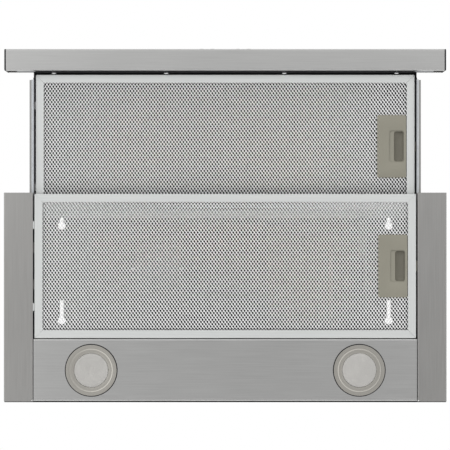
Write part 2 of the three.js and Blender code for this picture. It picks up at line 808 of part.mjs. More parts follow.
/** The latch plate: a shallow moulded box, open above, with a window for the finger. */
function latchPlate() {
  const { x: width, y: depth, z: height } = latchPlateSize;
  const floor = 0.4;
  const face = 1.5;
  const outer = solid(extrudeZ(roundedRectangle(latchCentreX, 0, width, depth, 2), floor, floor + height, 2));
  const hollow = box(
    [latchCentreX - width / 2 + latchWall, latchCentreX + width / 2 - latchWall],
    [-depth / 2 + latchWall, depth / 2 - latchWall],
    [floor + face, floor + height + 1],
  );
  const { x0, x1, y } = latchWindow;
  const window = solid(extrudeZ(roundedRectangle((x0 + x1) / 2, 0, x1 - x0, y, 2.5), -1, 4, 3));
  const half = tongueWidth / 2 + 0.6;
  const notch = box(
    [latchCentreX + width / 2 - 3, latchCentreX + width / 2 + 1],
    [-half, half],
    [latchSlotLevel.low, floor + height + 1],
  );
  const guides = [-1, 1].map((side) =>
    box(
      [latchCentreX - width / 2 + 1, latchCentreX + width / 2 - 1],
      [side * 23, side * (23 + latchWall)],
      [floor + face - 0.5, floor + height],
    ),
  );
  return cut(join(cut(outer, hollow, window), ...guides), notch);
}

/** The latch slider: a plate behind the window with a finger cup, and the tongue that locks. */
function latchSlider() {
  const low = 2.2;
  const high = 3.6;
  const { x0, x1, depth } = fingerRecess;
  const recessLength = latchWindow.y - 2.1;
  const plate = box([x0 - 15, x1 + 2], [-22.5, 22.5], [low, high]);
  const cup = box([x0 - latchWall, x1 + latchWall], [-22, 22], [low, low + depth + 1]);
  const recess = solid(
    extrudeZ(roundedRectangle((x0 + x1) / 2, 0, x1 - x0, recessLength, 1.5), low - 1, low + depth, 2),
  );
  const tongue = box([x1 + 1, tongueEnd], [-tongueWidth / 2, tongueWidth / 2], [tongueLevel.low, tongueLevel.high]);
  const lead = box([-2, 2], [-tongueWidth, tongueWidth], [-2, 2]).rotate([0, 45, 0]);
  return cut(join(plate, cup, tongue), recess, lead.translate([tongueEnd + 1.6, 0, 3.1]));
}

/** One grease filter: its four pieces share one place. */
function greaseFilter(position, { y, bottom }) {
  const group = new THREE.Group();
  group.position.set(0, y, bottom);
  group.add(
    solidPart(`${position}_filter_frame`, filterFrame(), filterAluminium),
    part(`${position}_filter_mesh`, filterNet(), filterAluminium),
    solidPart(`${position}_latch_plate`, latchPlate(), oliveAbs),
    solidPart(`${position}_latch_slider`, latchSlider(), oliveAbs),
  );
  return group;
}

// ------------------------------------------------------------------ the outlet

/** The fan housing: a box with an open foot that stands up through the tray, its flange below. */
function blowerHousing() {
  const [w, front, rear] = [housingHalfWidth, housingFrontY, housingRearY];
  const flangeTop = -sheet - fit;
  const outer = box([-w, w], [front, rear], [flangeTop - sheet, housingRoof]);
  const flange = box(
    [-w - housingFlange, w + housingFlange],
    [front - housingFlange, rear + housingFlange],
    [flangeTop - sheet, flangeTop],
  );
  const hollow = box(
    [-w + sheet, w - sheet],
    [front + sheet, rear - sheet],
    [-10, housingRoof - sheet],
  );
  const outlet = box(
    [-voluteHalfWidth, voluteHalfWidth],
    [fanY + outletFront, fanY + volute.end],
    [housingRoof - past, housingRoof + past],
  );
  const glandHole = solid(turned(rod(glandHoleRadius, -past, past), 12).translate(...glandPlace));
  return solidPart('blower_housing', cut(join(outer, flange), hollow, outlet, glandHole), zincSheet);
}

/** The gland where the supply cord enters. The cord itself is not part of the model. */
function cableGland() {
  const gland = turned([
    [4, -7],
    [7.9, -7],
    [7.9, fit],
    [12, fit],
    [12, 5],
    [10.4, 6],
    [9.6, 15],
    [7.5, 18],
    [4, 18],
    [4, -7],
  ], 12);
  gland.translate(...glandPlace);
  return part('cable_gland', gland, blackAbs);
}

/** The collar: a square plenum foot over the outlet and the round spigot for the duct. */
function outletCollar() {
  const foot = housingRoof + fit;
  const centred = (half, z0, z1) => box([-half, half], [-half, half], [z0, z1]);
  const ledgeTop = flapPinZ - 2.5;
  const bore = collarRadius - collarWall;
  const shell = cut(
    join(centred(plenumHalf, foot, plenumTop), centred(plenumHalf + 8, foot, foot + 1.5)),
    centred(plenumHalf - 2, foot - 1, plenumTop - 2),
    solid(turned(rod(bore, plenumTop - past, plenumTop + past), collarSegments)),
  );
  const spigot = solid(turned(ring(bore, collarRadius, plenumTop - 1, collarTop), collarSegments));
  const ledge = solid(turned(ring(bore - 3, bore + 0.5, ledgeTop - 1.4, ledgeTop), collarSegments));
  const pinHoles = [-1, 1].map((side) =>
    solid(turnedX(rod(flapPinRadius + fit, -past, past), 12).translate(side * collarRadius, 0, flapPinZ)),
  );
  const collar = cut(join(shell, spigot, ledge), ...pinHoles).translate([0, collarY, 0]);
  return solidPart('outlet_collar', collar, blackAbs);
}

/** A half-round non-return flap. Its knuckles leave room for those of the other flap. */
function outletFlap(side) {
  const knuckles = side < 0 ? flapKnuckles.front : flapKnuckles.rear;
  const bladeLow = -2.2;
  const bladeHigh = -1;
  const start = Math.asin(flapGap / flapRadius);
  const from = side > 0 ? start : Math.PI + start;
  const half = new THREE.Shape();
  half.absarc(0, 0, flapRadius, from, from + Math.PI - 2 * start, false);
  const blade = solid(extrudeZ(half, bladeLow, bladeHigh, 14));
  const bars = knuckles.map(([x0, x1]) =>
    cut(
      join(
        solid(turnedX(rod(flapKnuckles.radius, x0, x1), 10)),
        box([x0, x1], [0, side * (flapGap + 0.6)], [bladeLow, bladeHigh]),
      ),
      solid(turnedX(rod(flapPinRadius + 0.4, x0 - 1, x1 + 1), 10)),
    ),
  );
  const stiffener = box([-1, 1], [side * 12, side * 50], [bladeHigh - 0.2, bladeHigh + 2]);
  const flap = join(blade, stiffener, ...bars).translate([0, collarY, flapPinZ]);
  return solidPart(side < 0 ? 'front_outlet_flap' : 'rear_outlet_flap', flap, blackAbs);
}

function flapPin() {
  const half = collarRadius - 0.5;
  const pin = turnedX(rod(flapPinRadius, -half, half), 12).translate(0, collarY, flapPinZ);
  return part('flap_pin', pin, brightSteel);
}

// --------------------------------------------------------------------- the fan
// Everything here is drawn about the fan's shaft: X along it, Y to the rear, Z up.

/** Points of the volute's spiral, `extra` outside its inner face, from the cutoff to the outlet. */
function spiral(extra) {
  const steps = 20;
  const from = THREE.MathUtils.degToRad(volute.cutoff);
  const to = 2 * Math.PI;
  return Array.from({ length: steps + 1 }, (_, i) => {
    const angle = from + ((to - from) * i) / steps;
    const radius = volute.start + ((volute.end - volute.start) * i) / steps + extra;
    return [radius * Math.cos(angle), radius * Math.sin(angle)];
  });
}

/** The volute with its outlet duct: a spiral that leaves straight upward at the rear. */
function voluteSolid(extra, x0, x1, top) {
  const end = volute.end + extra;
  const neck = THREE.MathUtils.degToRad(volute.cutoff + (extra ? 8 : 0));
  const lip = volute.start + extra;
  const duct = polygon([
    [20, 0],
    [end, 0],
    [end, top],
    [outletFront - extra, top],
    [lip * Math.cos(neck), lip * Math.sin(neck)],
  ]);
  return join(solid(extrudeX(polygon(spiral(extra)), x0, x1)), solid(extrudeX(duct, x0, x1)));
}

const inletHole = (x) => solid(turnedX(rod(inletRadius, x - 4, x + 4), inletSegments));

/** The rounded mouth that leads air through a side wall into the impeller's eye. */
function inletMouth(side, wallX) {
  const profile = [
    [39, 7.5],
    [40.2, 7.5],
    [41.6, 3.6],
    [44, 1.8],
    [44, 0.5],
    [40.4, 2.2],
    [39, 7.5],
  ].map(([radius, inward]) => [radius, -side * inward]);
  return solid(turnedX(profile, inletSegments)).translate([wallX, 0, 0]);
}

/** The moulded scroll: spiral wall, right side wall with its inlet, and a flange at the outlet. */
function fanScroll() {
  const { wall } = volute;
  const w = voluteHalfWidth;
  const shell = cut(
    voluteSolid(wall, -w, w + wall, outletTop),
    voluteSolid(0, -w - 1, w, outletTop + 1),
    inletHole(w),
  );
  const flange = cut(
    box([-w - 9, w + 9], [outletFront - 9, volute.end + 9], [outletTop - wall, outletTop]),
    box([-w, w], [outletFront, volute.end], [outletTop - 10, outletTop + 5]),
    box([-w - 20, -w - 0.01], [outletFront - 20, volute.end + 20], [outletTop - 10, outletTop + 5]),
  );
  return solidPart('fan_scroll', join(shell, flange, inletMouth(1, w + wall)), blackAbs);
}

/** The cover on the motor side, which comes off to take out the impeller. */
function scrollCover() {
  const { wall } = volute;
  const inner = -voluteHalfWidth - fit;
  const plate = cut(voluteSolid(wall, inner - wall, inner, outletTop), inletHole(inner));
  return solidPart('scroll_cover', join(plate, inletMouth(-1, inner - wall)), blackAbs);
}

/** A finger guard over the free inlet: rings joined by spokes. */
function inletGuard() {
  const low = voluteHalfWidth + volute.wall + fit;
  const rings = [[10, 12], [26, 28], [43, 46]].map(([a, b]) =>
    solid(turnedX(ring(a, b, low, low + 2), 16)),
  );
  const spokes = [0, 90].map((angle) =>
    box([low, low + 2], [-1.2, 1.2], [-45, 45]).rotate([angle, 0, 0]),
  );
  return solidPart('inlet_guard', join(...rings, ...spokes), zincSheet);
}

/** The outline of one forward-curved blade: a thin arc from the eye to the rim. */
function bladeOutline() {
  const thickness = 1.1;
  const steps = 2;
  const inner = [];
  const outer = [];
  for (let i = 0; i <= steps; i += 1) {
    const along = i / steps;
    const radius = bladeInnerRadius + 0.4 + (impellerRadius - bladeInnerRadius - 0.6) * along;
    const sweep = 0.16 * along * along;
    const half = thickness / 2 / radius;
    outer.push(new THREE.Vector2(radius * Math.cos(sweep + half), radius * Math.sin(sweep + half)));
    inner.push(new THREE.Vector2(radius * Math.cos(sweep - half), radius * Math.sin(sweep - half)));
  }
  return new THREE.Shape([...inner, ...outer.reverse()]);
}

/** The double-inlet impeller: blades through a middle disc, a ring at each end and a hub. */
function impeller() {
  const w = impellerHalfWidth;
  const outline = bladeOutline();
  const blades = Array.from({ length: bladeCount }, (_, i) => {
    const blade = extrudeX(outline, -w + 0.2, w - 0.2).rotateX((i * 2 * Math.PI) / bladeCount);
    return solid(blade);
  });
  const disc = solid(turnedX(rod(impellerRadius - 1, -1, 1), bladeCount));
  const rims = [-1, 1].map((side) => {
    const [from, to] = side < 0 ? [-w, -w + 2] : [w - 2, w];
    return solid(turnedX(ring(impellerRadius - 2, impellerRadius, from, to), bladeCount * 2));
  });
  const boss = solid(turnedX(rod(hub.radius, -hub.half, hub.half), 16));
  const bore = solid(turnedX(rod(shaftRadius + fit, -hub.half - past, hub.half + past), 12));
  return solidPart('impeller', cut(join(disc, boss, ...rims, ...blades), bore), greyAbs);
}

const motorShaft = () =>
  part('motor_shaft', turnedX([[0, -134], [3.4, -134], [4, -133.4], [4, 15.4], [3.4, 16], [0, 16]], 12), brightSteel);

function motorRotor() {
  const profile = ring(shaftRadius + fit, rotor.radius, rotor.from, rotor.to);
  return part('motor_rotor', turnedX(profile, 16), copperSteel);
}

/** The laminated stator: a ring with eight teeth that reach in to the rotor. */
function motorStator() {
  const { teeth, toothRadius, slotRadius } = stator;
  const outline = new THREE.Shape();
  outline.absarc(0, 0, motorRadius, 0, 2 * Math.PI, false);
  const inside = [];
  for (let i = 0; i < teeth; i += 1) {
    const middle = (i * 2 * Math.PI) / teeth;
    const tipHalf = 0.3;
    const rootHalf = 0.14;
    [[slotRadius, -rootHalf], [toothRadius, -tipHalf], [toothRadius, 0], [toothRadius, tipHalf], [slotRadius, rootHalf]]
      .forEach(([radius, offset]) => {
        inside.push([radius * Math.cos(middle + offset), radius * Math.sin(middle + offset)]);
      });
  }
  outline.holes.push(polygon(inside));
  return part('motor_stator', extrudeX(outline, stator.from, stator.to, 10), copperSteel);
}

/** An end cap of the motor: a cup with a bearing boss round the shaft. */
function motorCap(side) {
  const name = side > 0 ? 'motor_cap_inner' : 'motor_cap_outer';
  const faceX = side > 0 ? -66.4 : -128.2;
  const profile = [
    [4.5, 0],
    [10, 0],
    [motorRadius - 4, 1],
    [motorRadius, 5],
    [motorRadius, 15.7],
    [motorRadius - 2, 15.7],
    [motorRadius - 2, 6],
    [motorRadius - 5, 3],
    [10, 3],
    [9, 11],
    [4.5, 11],
    [4.5, 0],
  ].map(([radius, inward]) => [radius, -side * inward]);
  const cup = solid(turnedX(profile, 16)).translate([faceX, 0, 0]);
  const vents = [45, 135, 225, 315].map((angle) =>
    box([faceX - side * 9 - 2, faceX - side * 9 + 2], [20, 40], [-5, 5]).rotate([angle, 0, 0]),
  );
  return solidPart(name, cut(cup, ...vents), copperSteel);
}

/** The motor bracket: a ring on the motor's face with three arms to the scroll cover. */
function motorBracket() {
  const seat = -voluteHalfWidth - volute.wall - 2 * fit;
  const { from, to, inner, outer, arm, halfWidth } = bracket;
  const gauge = to - from;
  const ringSolid = solid(turnedX(ring(inner, outer, from, to), 16));
  const across = [-halfWidth, halfWidth];
  const arms = [90, 210, 330].map((angle) =>
    join(
      box([from, to], [outer - 3, arm], across),
      box([from, seat], [arm - gauge, arm], across),
      box([seat - gauge, seat], [arm - 6, arm], across),
    ).rotate([angle, 0, 0]),
  );
  return solidPart('motor_bracket', join(ringSolid, ...arms), zincSheet);
}

function fan() {
  const group = new THREE.Group();
  group.position.set(0, fanY, fanZ);
  group.add(
    fanScroll(),
    scrollCover(),
    inletGuard(),
    motorBracket(),
    motorCap(1),
    motorCap(-1),
    motorStator(),
    motorRotor(),
    motorShaft(),
    impeller(),
  );
  return group;
}

// ------------------------------------------------------------------ electrics

/** The run capacitor lies along the housing's rear wall, held by its strap. */
function capacitor() {
  const rearWall = housingRearY - sheet - fit;
  const { radius, from, to, z, strap } = can;
  const place = [0, rearWall - radius - 1, z];
  const body = turnedX([
    [0, from],
    [radius, from],
    [radius, to],
    [radius - 2, to + 2],
    [4, to + 2],
    [4, to + 8],
    [0, to + 8],
  ], 14).translate(...place);
  const foot = box(strap, [rearWall - 1, rearWall], [z - radius - 10, z + radius + 10]);
  const band = solid(turnedX(ring(radius - 0.5, radius + 1, ...strap), 14)).translate(place);
  const wallSide = box([from - 10, to + 18], [rearWall, rearWall + 10], [z - 50, z + 50]);
  return solidPart('capacitor', cut(join(solid(body), foot, band), wallSide), whiteAbs);
}

/** The control box on the right wall of the housing, open to its lid, with a wire entry below. */
function controlBox() {
  const { x, y0, y1, z0, z1, depth, wall } = boxWall;
  const outer = box([x - depth, x], [y0, y1], [z0, z1]);
  const hollow = box([x - depth - past, x - wall], [y0 + wall, y1 - wall], [z0 + wall, z1 - wall]);
  const entry = solid(turned(rod(6, z0 - past, z0 + past), 16).translate(x - 20, y1 - 20, 0));
  return solidPart('control_box', cut(outer, hollow, entry), whiteAbs);
}

function controlBoxLid() {
  const { x, y0, y1, z0, z1, depth, wall } = boxWall;
  const face = x - depth - fit;
  const lid = box([face - wall, face], [y0, y1], [z0, z1]);
  const inset = wall + 0.4;
  const ribs = box([face - 0.5, face + 5], [y0 + inset, y1 - inset], [z0 + inset, z1 - inset]);
  const inside = box([face, face + 9], [y0 + 2 * wall, y1 - 2 * wall], [z0 + 2 * wall, z1 - 2 * wall]);
  return solidPart('control_box_lid', cut(join(lid, ribs), inside), greyAbs);
}

// ---------------------------------------------------------------- the assembly

function drawer() {
  const group = new THREE.Group();
  group.add(
    drawerFrame(),
    drawerCover(),
    fascia(),
    fasciaBackplate(),
    fasciaCap(-1),
    fasciaCap(1),
    ...screwXs.map(fasciaScrew),
    switchBlock(),
    ...buttonXs.map(pushButton),
    drawerSlide(-1),
    drawerSlide(1),
    greaseFilter('front', frontFilter),
  );
  return group;
}

const hood = new THREE.Group();
hood.name = 'pull_out_hood';
hood.add(
  baseTray(),
  wing(-1),
  wing(1),
  lampPanel(),
  lamp(-1),
  lamp(1),
  ledDriver(),
  drawerSwitch(),
  fixedSlide(-1),
  fixedSlide(1),
  ballCage(-1),
  ballCage(1),
  greaseFilter('rear', rearFilter),
  drawer(),
  blowerHousing(),
  cableGland(),
  outletCollar(),
  outletFlap(-1),
  outletFlap(1),
  flapPin(),
  fan(),
  capacitor(),
  controlBox(),
  controlBoxLid(),
);

export default hood;
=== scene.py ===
"""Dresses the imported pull-out hood: folded steel, mesh filters, lamps, slides and the fan above."""
import math

import bpy
import numpy as np
from bpy.props import FloatProperty, FloatVectorProperty, PointerProperty
from bpy.types import Operator, Panel, PropertyGroup
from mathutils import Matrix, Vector


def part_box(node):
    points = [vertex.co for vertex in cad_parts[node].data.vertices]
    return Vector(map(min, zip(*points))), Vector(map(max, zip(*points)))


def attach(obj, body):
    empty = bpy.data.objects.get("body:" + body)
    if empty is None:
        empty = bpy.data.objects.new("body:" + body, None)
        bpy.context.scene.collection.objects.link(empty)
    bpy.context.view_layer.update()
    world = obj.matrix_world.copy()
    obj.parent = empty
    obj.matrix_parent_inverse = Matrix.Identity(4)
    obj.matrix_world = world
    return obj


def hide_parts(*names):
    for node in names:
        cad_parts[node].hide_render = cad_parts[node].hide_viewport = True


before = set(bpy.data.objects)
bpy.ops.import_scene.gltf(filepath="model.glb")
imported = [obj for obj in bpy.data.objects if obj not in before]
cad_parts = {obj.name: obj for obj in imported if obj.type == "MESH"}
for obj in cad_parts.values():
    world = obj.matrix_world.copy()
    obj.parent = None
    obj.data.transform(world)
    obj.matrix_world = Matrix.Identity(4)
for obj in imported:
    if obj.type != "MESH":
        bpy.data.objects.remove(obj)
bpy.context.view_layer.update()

bl_info = {
    "name": "Pull-out hood",
    "version": (1, 0, 0),
    "blender": (4, 5, 0),
    "location": "View3D > Sidebar > Hood",
    "description": "Builds the visible pieces and finishes of a pull-out cooker hood",
    "category": "Add Mesh",
}

MM = 0.001
SIDES = ((-1, "left"), (1, "right"))

# Places of the real pieces, in millimetres. They repeat the solids that these pieces cover.
SHEET = 0.8
UNDERSIDE = -43.0
LOW_SHEET = UNDERSIDE + SHEET / 2  # middle of the sheets that face down
WING_FRONT, WING_REAR = -271.5, 11.0
FILTERS = {"rear": (-172.2, -43.0), "front": (-334.8, -27.0)}  # middle Y and lowest Z
FILTER_HALF = (258.0, 97.5)
NET_HALF = (246.4, 86.0)
NET_LAYERS = (1.7, 4.2)  # heights of the two layers above a filter's lowest Z
TAB_REACH = 55.5  # from a filter's middle to each tab
TONGUE_SLOT = 7.6  # half the width of the latch tongue's slot
LATCH_X, WINDOW_X, CUP_X = 226.8, 233.35, 236.5
LATCH_CLEAR = (208.6, 246.7, 41.2)  # where the net ends at the latch: X, X, half the depth
LAMP_X, LAMP_Y = 181.3, -31.2
BUTTON_X = (-32.3, -17.3, 17.3, 32.3)
SCREW_X = (-233.5, -80.5, 80.5, 233.5)
SCREW_SEAT = -434.9
PANEL_FRONT, PANEL_REAR, PANEL_MIDDLE_Z = -465.8, -436.8, -23.0
COLLAR_Y = -113.0
HOUSING_X, HOUSING_FRONT, HOUSING_REAR, HOUSING_ROOF = 195.7, -235.7, -18.3, 150.0

# The studio, in metres.
HOOD_MIDDLE = (0, -0.22, 0)
CAMERA_DISTANCE = 2.4
VIEW_WIDTH = 0.6086  # how much of the underside the picture takes in
FLOOR_HALF, FLOOR_Z = 7.0, -2.8
FLOOR_GLOW = (0.62, 1.8, 0.8)  # below the hood, around it and far off
GLOW_MIDDLE = (0.2, 0.3, FLOOR_Z)
WORLD_LIGHT = 0.62


def linear(hex_colour):
    """An sRGB hex colour as linear red, green and blue."""
    srgb = np.array([int(hex_colour[i:i + 2], 16) for i in (0, 2, 4)]) / 255
    return tuple(np.where(srgb <= 0.04045, srgb / 12.92, ((srgb + 0.055) / 1.055) ** 2.4).tolist())


# ---------------- sizes and colours

def length(name, description, default):
    """A size in metres whose default is given in millimetres."""
    return FloatProperty(
        name=name, description=description, default=default * MM, unit="LENGTH", precision=5
    )


def colour(name, description, default):
    """A colour whose default is given as an sRGB hex value."""
    return FloatVectorProperty(
        name=name, description=description, default=linear(default),
        size=3, min=0, max=1, subtype="COLOR",
    )


class HoodSheetSizes(PropertyGroup):
    """Sizes of the folded sheet and its finish. Bend radii are at the middle of the sheet."""

    wing_bend: length("Wing bend", "Radius of the side wings' folds", 0.48)
    panel_bend: length("Lamp panel bend", "Radius of the lamp panel's folds", 1.8)
    front_bend: length("Front panel bend", "Radius of the front panel's folds", 1.2)
    grain: length("Brush line width", "Width of one line, drawn coarser than the real 0.2 mm", 1.1)
    grain_length: length("Brush line length", "How far one brush line runs", 70)


class HoodFilterSizes(PropertyGroup):
    """Sizes of the expanded mesh and its frame."""

    pitch_across: length("Mesh pitch across", "Distance between diamonds in a row", 4.38)
    pitch_along: length("Mesh pitch front to back", "Distance between rows that line up", 6.05)
    hole_across: length("Hole across", "Width of one diamond hole", 2.6)
    hole_along: length("Hole front to back", "Length of one diamond hole", 4.1)
    hole_slant: length("Hole slant", "How far each end of a hole leans sideways", 0.2)
    strand: length("Strand thickness", "Thickness of one strand of the mesh", 0.8)
    mitre_gap: length("Mitre gap", "Gap where two bars of the frame meet", 0.3)


class HoodColours(PropertyGroup):
    """Colours of the finishes."""

    # The three steels are one stainless sheet. Their tones differ as painted light and shade: the
    # wings are darker and the front lighter, for how each face, brushed its own way, catches the
    # light.
    front_steel: colour("Front panel steel", "Brushed steel of the front panel", "B8B8B7")
    wing_steel: colour("Wing steel", "Brushed steel of the side wings", "A9A8A6")
    panel_steel: colour("Lamp panel steel", "Brushed steel of the lamp panel", "BDBDBC")
    zinc: colour("Zinc", "Zinc-plated sheet inside and above", "C3C6C9")
    # On the tray, on the drawer cover and inside the fan housing this black is painted shade, which
    # keeps what shows through the filter holes dark; on the drawer frame it is the frame's own black.
    powder: colour("Powder coat", "Black powder coat of the tray and the drawer", "29292C")
    frame_aluminium: colour("Frame aluminium", "Rolled aluminium of the filter frames", "E2E4E3")
    # The hidden bar's darker aluminium is painted shade, for the shadow of the mesh above it.
    dull_aluminium: colour("Dull aluminium", "Undressed bar above the other filter", "A4A6A6")
    mesh_aluminium: colour("Mesh aluminium", "Expanded aluminium of the meshes", "ECECEC")
    latch_abs: colour("Latch ABS", "Moulded ABS of the filter latches", "8E8B7E")
    # The cups' ABS is darker than the latch's: painted shade, for the shade inside the deep finger
    # cups.
    cup_abs: colour("Cup ABS", "The same ABS in the finger cups, darkened as painted shade of the deep cup", "7A776C")
    black_abs: colour("Black ABS", "Moulded black plastic", "1A1A1C")
    grey_abs: colour("Grey ABS", "Moulded grey plastic", "6F7173")
    white_pbt: colour("White PBT", "Moulded white plastic", "DDDDDB")
    lens: colour("Lens", "Frosted glass of the lamps", "D0CECA")
    lamp_ring: colour("Lamp ring", "Satin nickel of the lamp rings", "BAB7B0")
    nickel: colour("Nickel", "Bright nickel of screws, cages and pins", "DADADB")
    # This grey is partly painted shade: it darkens the drawer rails, which lie up in shadow, and
    # tones down the bright reflection on the button domes.
    slide_steel: colour("Slide steel", "Dull steel of the ball slides and the buttons", "A3A3A1")
    motor_steel: colour("Motor steel", "Laminations and cast caps of the motor", "5E6064")


# ---------------- mesh shapes

def shaded(mesh, angle=35.0):
    """Smooth shading, with every edge past the angle kept sharp."""
    mesh.shade_smooth()
    mesh.set_sharp_from_angle(angle=math.radians(angle))


def placed(name, data):
    """A new object of the scene that shows the data."""
    piece = bpy.data.objects.new(name, data)
    bpy.context.scene.collection.objects.link(piece)
    return piece


def surface(name, points, faces, smooth_angle=35.0):
    """An object from points in millimetres and arrays of faces, one row a face.

    A closed surface is turned to face outward: a sixth of the sum of every triangle's
    triple product is the volume it encloses, and that has to be above nothing.
    """
    places = np.asarray(points, np.float64) * MM
    groups = [np.asarray(group, np.int64) for group in faces if len(group)]
    fans = [
        np.stack([group[:, 0], group[:, i], group[:, i + 1]], 1)
        for group in groups for i in range(1, group.shape[1] - 1)
    ]
    a, b, c = (places[np.concatenate(fans)[:, i]] for i in range(3))
    if np.einsum("ij,ij->", a, np.cross(b, c)) < 0:
        groups = [group[:, ::-1] for group in groups]
    corners = np.concatenate([group.ravel() for group in groups])
    counts = np.concatenate([np.full(len(group), group.shape[1]) for group in groups])
    starts = np.concatenate([[0], np.cumsum(counts)[:-1]])
    mesh = bpy.data.meshes.new(name)
    mesh.vertices.add(len(places))
    mesh.vertices.foreach_set("co", places.astype(np.float32).ravel())
    mesh.loops.add(len(corners))
    mesh.loops.foreach_set("vertex_index", corners.astype(np.int32))
    mesh.polygons.add(len(counts))
    mesh.polygons.foreach_set("loop_start", starts.astype(np.int32))
    mesh.update(calc_edges=True)
    mesh.validate()
    shaded(mesh, smooth_angle)
    return placed(name, mesh)


def ring_quads(rings, around, closed=False):
    """The quads between each ring of points and the next, as index rows."""
    i = np.arange(rings if closed else rings - 1)[:, None] * around
    j = np.arange(around)[None, :]
    k, m = (i + around) % (rings * around), (j + 1) % around
    return np.stack([i + j, i + m, k + m, k + j], -1).reshape(-1, 4)


def loft(name, rings, closed=False, smooth_angle=35.0):
    """A surface through rings of equally many points.

    A closed one runs back to its first ring. Another is shut at each end by triangles
    from its last ring to that ring's mean point.
    """
    rings = np.asarray(rings, float)
    count, around, _ = rings.shape
    points, faces = rings.reshape(-1, 3), [ring_quads(count, around, closed)]
    if not closed:
        points = np.concatenate([points, rings[[0, -1]].mean(1)])
        j = np.arange(around)
        m, last = (j + 1) % around, (count - 1) * around
        faces.append(np.stack([m, j, np.full(around, count * around)], 1))
        faces.append(np.stack([j + last, m + last, np.full(around, count * around + 1)], 1))
    return surface(name, points, faces, smooth_angle)


def laid(u, v, w, normal):
    """Places from two coordinates in a plane and one along its normal, X, Y or Z."""
    u, v, w = np.broadcast_arrays(u, v, w)
    return np.stack({"X": (w, u, v), "Y": (u, w, v), "Z": (u, v, w)}[normal], -1)


def turned(name, profile, centre, axis="Z", segments=64, closed=False, smooth_angle=35.0):
    """A profile of radius and height pairs turned about an axis through centre.

    Each ring is radius times (cosine, sine) of an even angle, lifted by the height.
    """
    profile = np.asarray(profile, float)
    angle = np.linspace(0, 2 * math.pi, segments, endpoint=False)
    radius = np.maximum(profile[:, :1], 0.01)
    rings = laid(radius * np.cos(angle), radius * np.sin(angle), profile[:, 1:], axis)
    return loft(name, rings + np.asarray(centre, float), closed, smooth_angle)


def bore(centre, radius, reach, axis="Z", segments=64):
    """A round cutter about a point, as long to each side of it."""
    return turned("bore", [(radius, -reach), (radius, reach)], centre, axis, segments)


def rounded(centre, width, depth, radius, steps=6):
    """Points round a rectangle with round corners, the same number at each corner."""
    radius = min(max(radius, 0.05), width / 2, depth / 2)
    angle = np.arange(4)[:, None] * math.pi / 2 + np.linspace(0, math.pi / 2, steps)[None, :]
    sign_u = np.array([1, -1, -1, 1])[:, None]
    sign_v = np.array([1, 1, -1, -1])[:, None]
    u = centre[0] + sign_u * (width / 2 - radius) + radius * np.cos(angle)
    v = centre[1] + sign_v * (depth / 2 - radius) + radius * np.sin(angle)
    return np.stack([u.ravel(), v.ravel()], 1)


def stacked(name, outlines, heights, normal="Z", closed=False, smooth_angle=35.0):
    """Flat outlines of equally many points laid at their heights and lofted."""
    rings = [laid(o[:, 0], o[:, 1], h, normal) for o, h in zip(outlines, heights)]
    return loft(name, rings, closed, smooth_angle)


def slab(name, centre, size, span, normal="Z", radius=0.5, edge=0.1):
    """A plate with round corners and eased edges: four outlines, the outer two drawn in."""
    low, high = span
    outlines = [
        rounded(centre, size[0] - 2 * inset, size[1] - 2 * inset, radius)
        for inset in (edge, 0, 0, edge)
    ]
    return stacked(name, outlines, [low, low + edge, high - edge, high], normal)


def box(x, y, z):
    """A plain cutter or inner block between two values each way."""
    corners = rounded((sum(x) / 2, sum(y) / 2), abs(x[1] - x[0]), abs(y[1] - y[0]), 0.05, 2)
    return stacked("box", [corners, corners], z)


def folded(corners, thickness, radius):
    """Both sides of a folded sheet's section.

    The line through the corners is set off by half the thickness to each side. At a bend
    the line is an arc that meets both straights, and both sides share its centre. A point
    stands a little before and after each arc, so that the flats are shaded as flats.
    """
    steps, margin = 6, 0.12
    line = np.asarray(corners, float)
    directions = np.diff(line, axis=0)
    directions /= np.linalg.norm(directions, axis=1)[:, None]
    normals = np.stack([-directions[:, 1], directions[:, 0]], 1)
    middles, offsets = [line[:1]], [normals[:1]]
    for i, corner in enumerate(line[1:-1]):
        before, after = directions[i], directions[i + 1]
        turn = math.atan2(before[0] * after[1] - before[1] * after[0], before @ after)
        side = math.copysign(1, turn)
        centre = corner - before * radius * math.tan(abs(turn) / 2) + normals[i] * side * radius
        angle = np.linspace(0, turn, steps)[:, None]
        quarter = np.array([-normals[i][1], normals[i][0]])
        swept = np.cos(angle) * normals[i] + np.sin(angle) * quarter
        arc = centre - side * radius * swept
        middles += [arc[:1] - before * margin, arc, arc[-1:] + after * margin]
        offsets += [swept[:1], swept, swept[-1:]]
    middle = np.concatenate(middles + [line[-1:]])
    offset = np.concatenate(offsets + [normals[-1:]])
    return middle + offset * thickness / 2, middle - offset * thickness / 2


def sheet_metal(name, sides, start, end):
    """A folded section carried from one end to the other, shut at both.

    start and end turn the section's points into places, so that an end can be mitred.
    """
    outline = np.concatenate([sides[0], sides[1][::-1]])
    around = len(outline)
    i = np.arange(len(sides[0]) - 1)
    shut = np.stack([i, i + 1, around - 2 - i, around - 1 - i], 1)
    faces = [ring_quads(2, around), shut[:, ::-1], shut + around]
    return surface(name, np.concatenate([start(outline), end(outline)]), faces)


def carried(name, sides, span, axis):
    """A folded section carried straight along an axis, between two values on it."""
    ends = [lambda p, w=w: laid(p[:, 0], p[:, 1], w, axis) for w in span]
    return sheet_metal(name, sides, *ends)


def channel(side, lip, web, low, high):
    """The line of a U section on its side: along the lower lip, up the web and back."""
    return [(side * lip, low), (side * web, low), (side * web, high), (side * lip, high)]


def joined(name, pieces):
    """Several pieces as one object, which takes the given name."""
    points, faces, first = [], {}, 0
    for piece in pieces:
        mesh = piece.data
        places = np.empty(len(mesh.vertices) * 3, np.float32)
        mesh.vertices.foreach_get("co", places)
        points.append(places.reshape(-1, 3) / MM)
        for face in mesh.polygons:
            faces.setdefault(len(face.vertices), []).append([v + first for v in face.vertices])
        first += len(mesh.vertices)
        bpy.data.objects.remove(piece)
    return surface(name, np.concatenate(points), [np.array(rows) for rows in faces.values()])


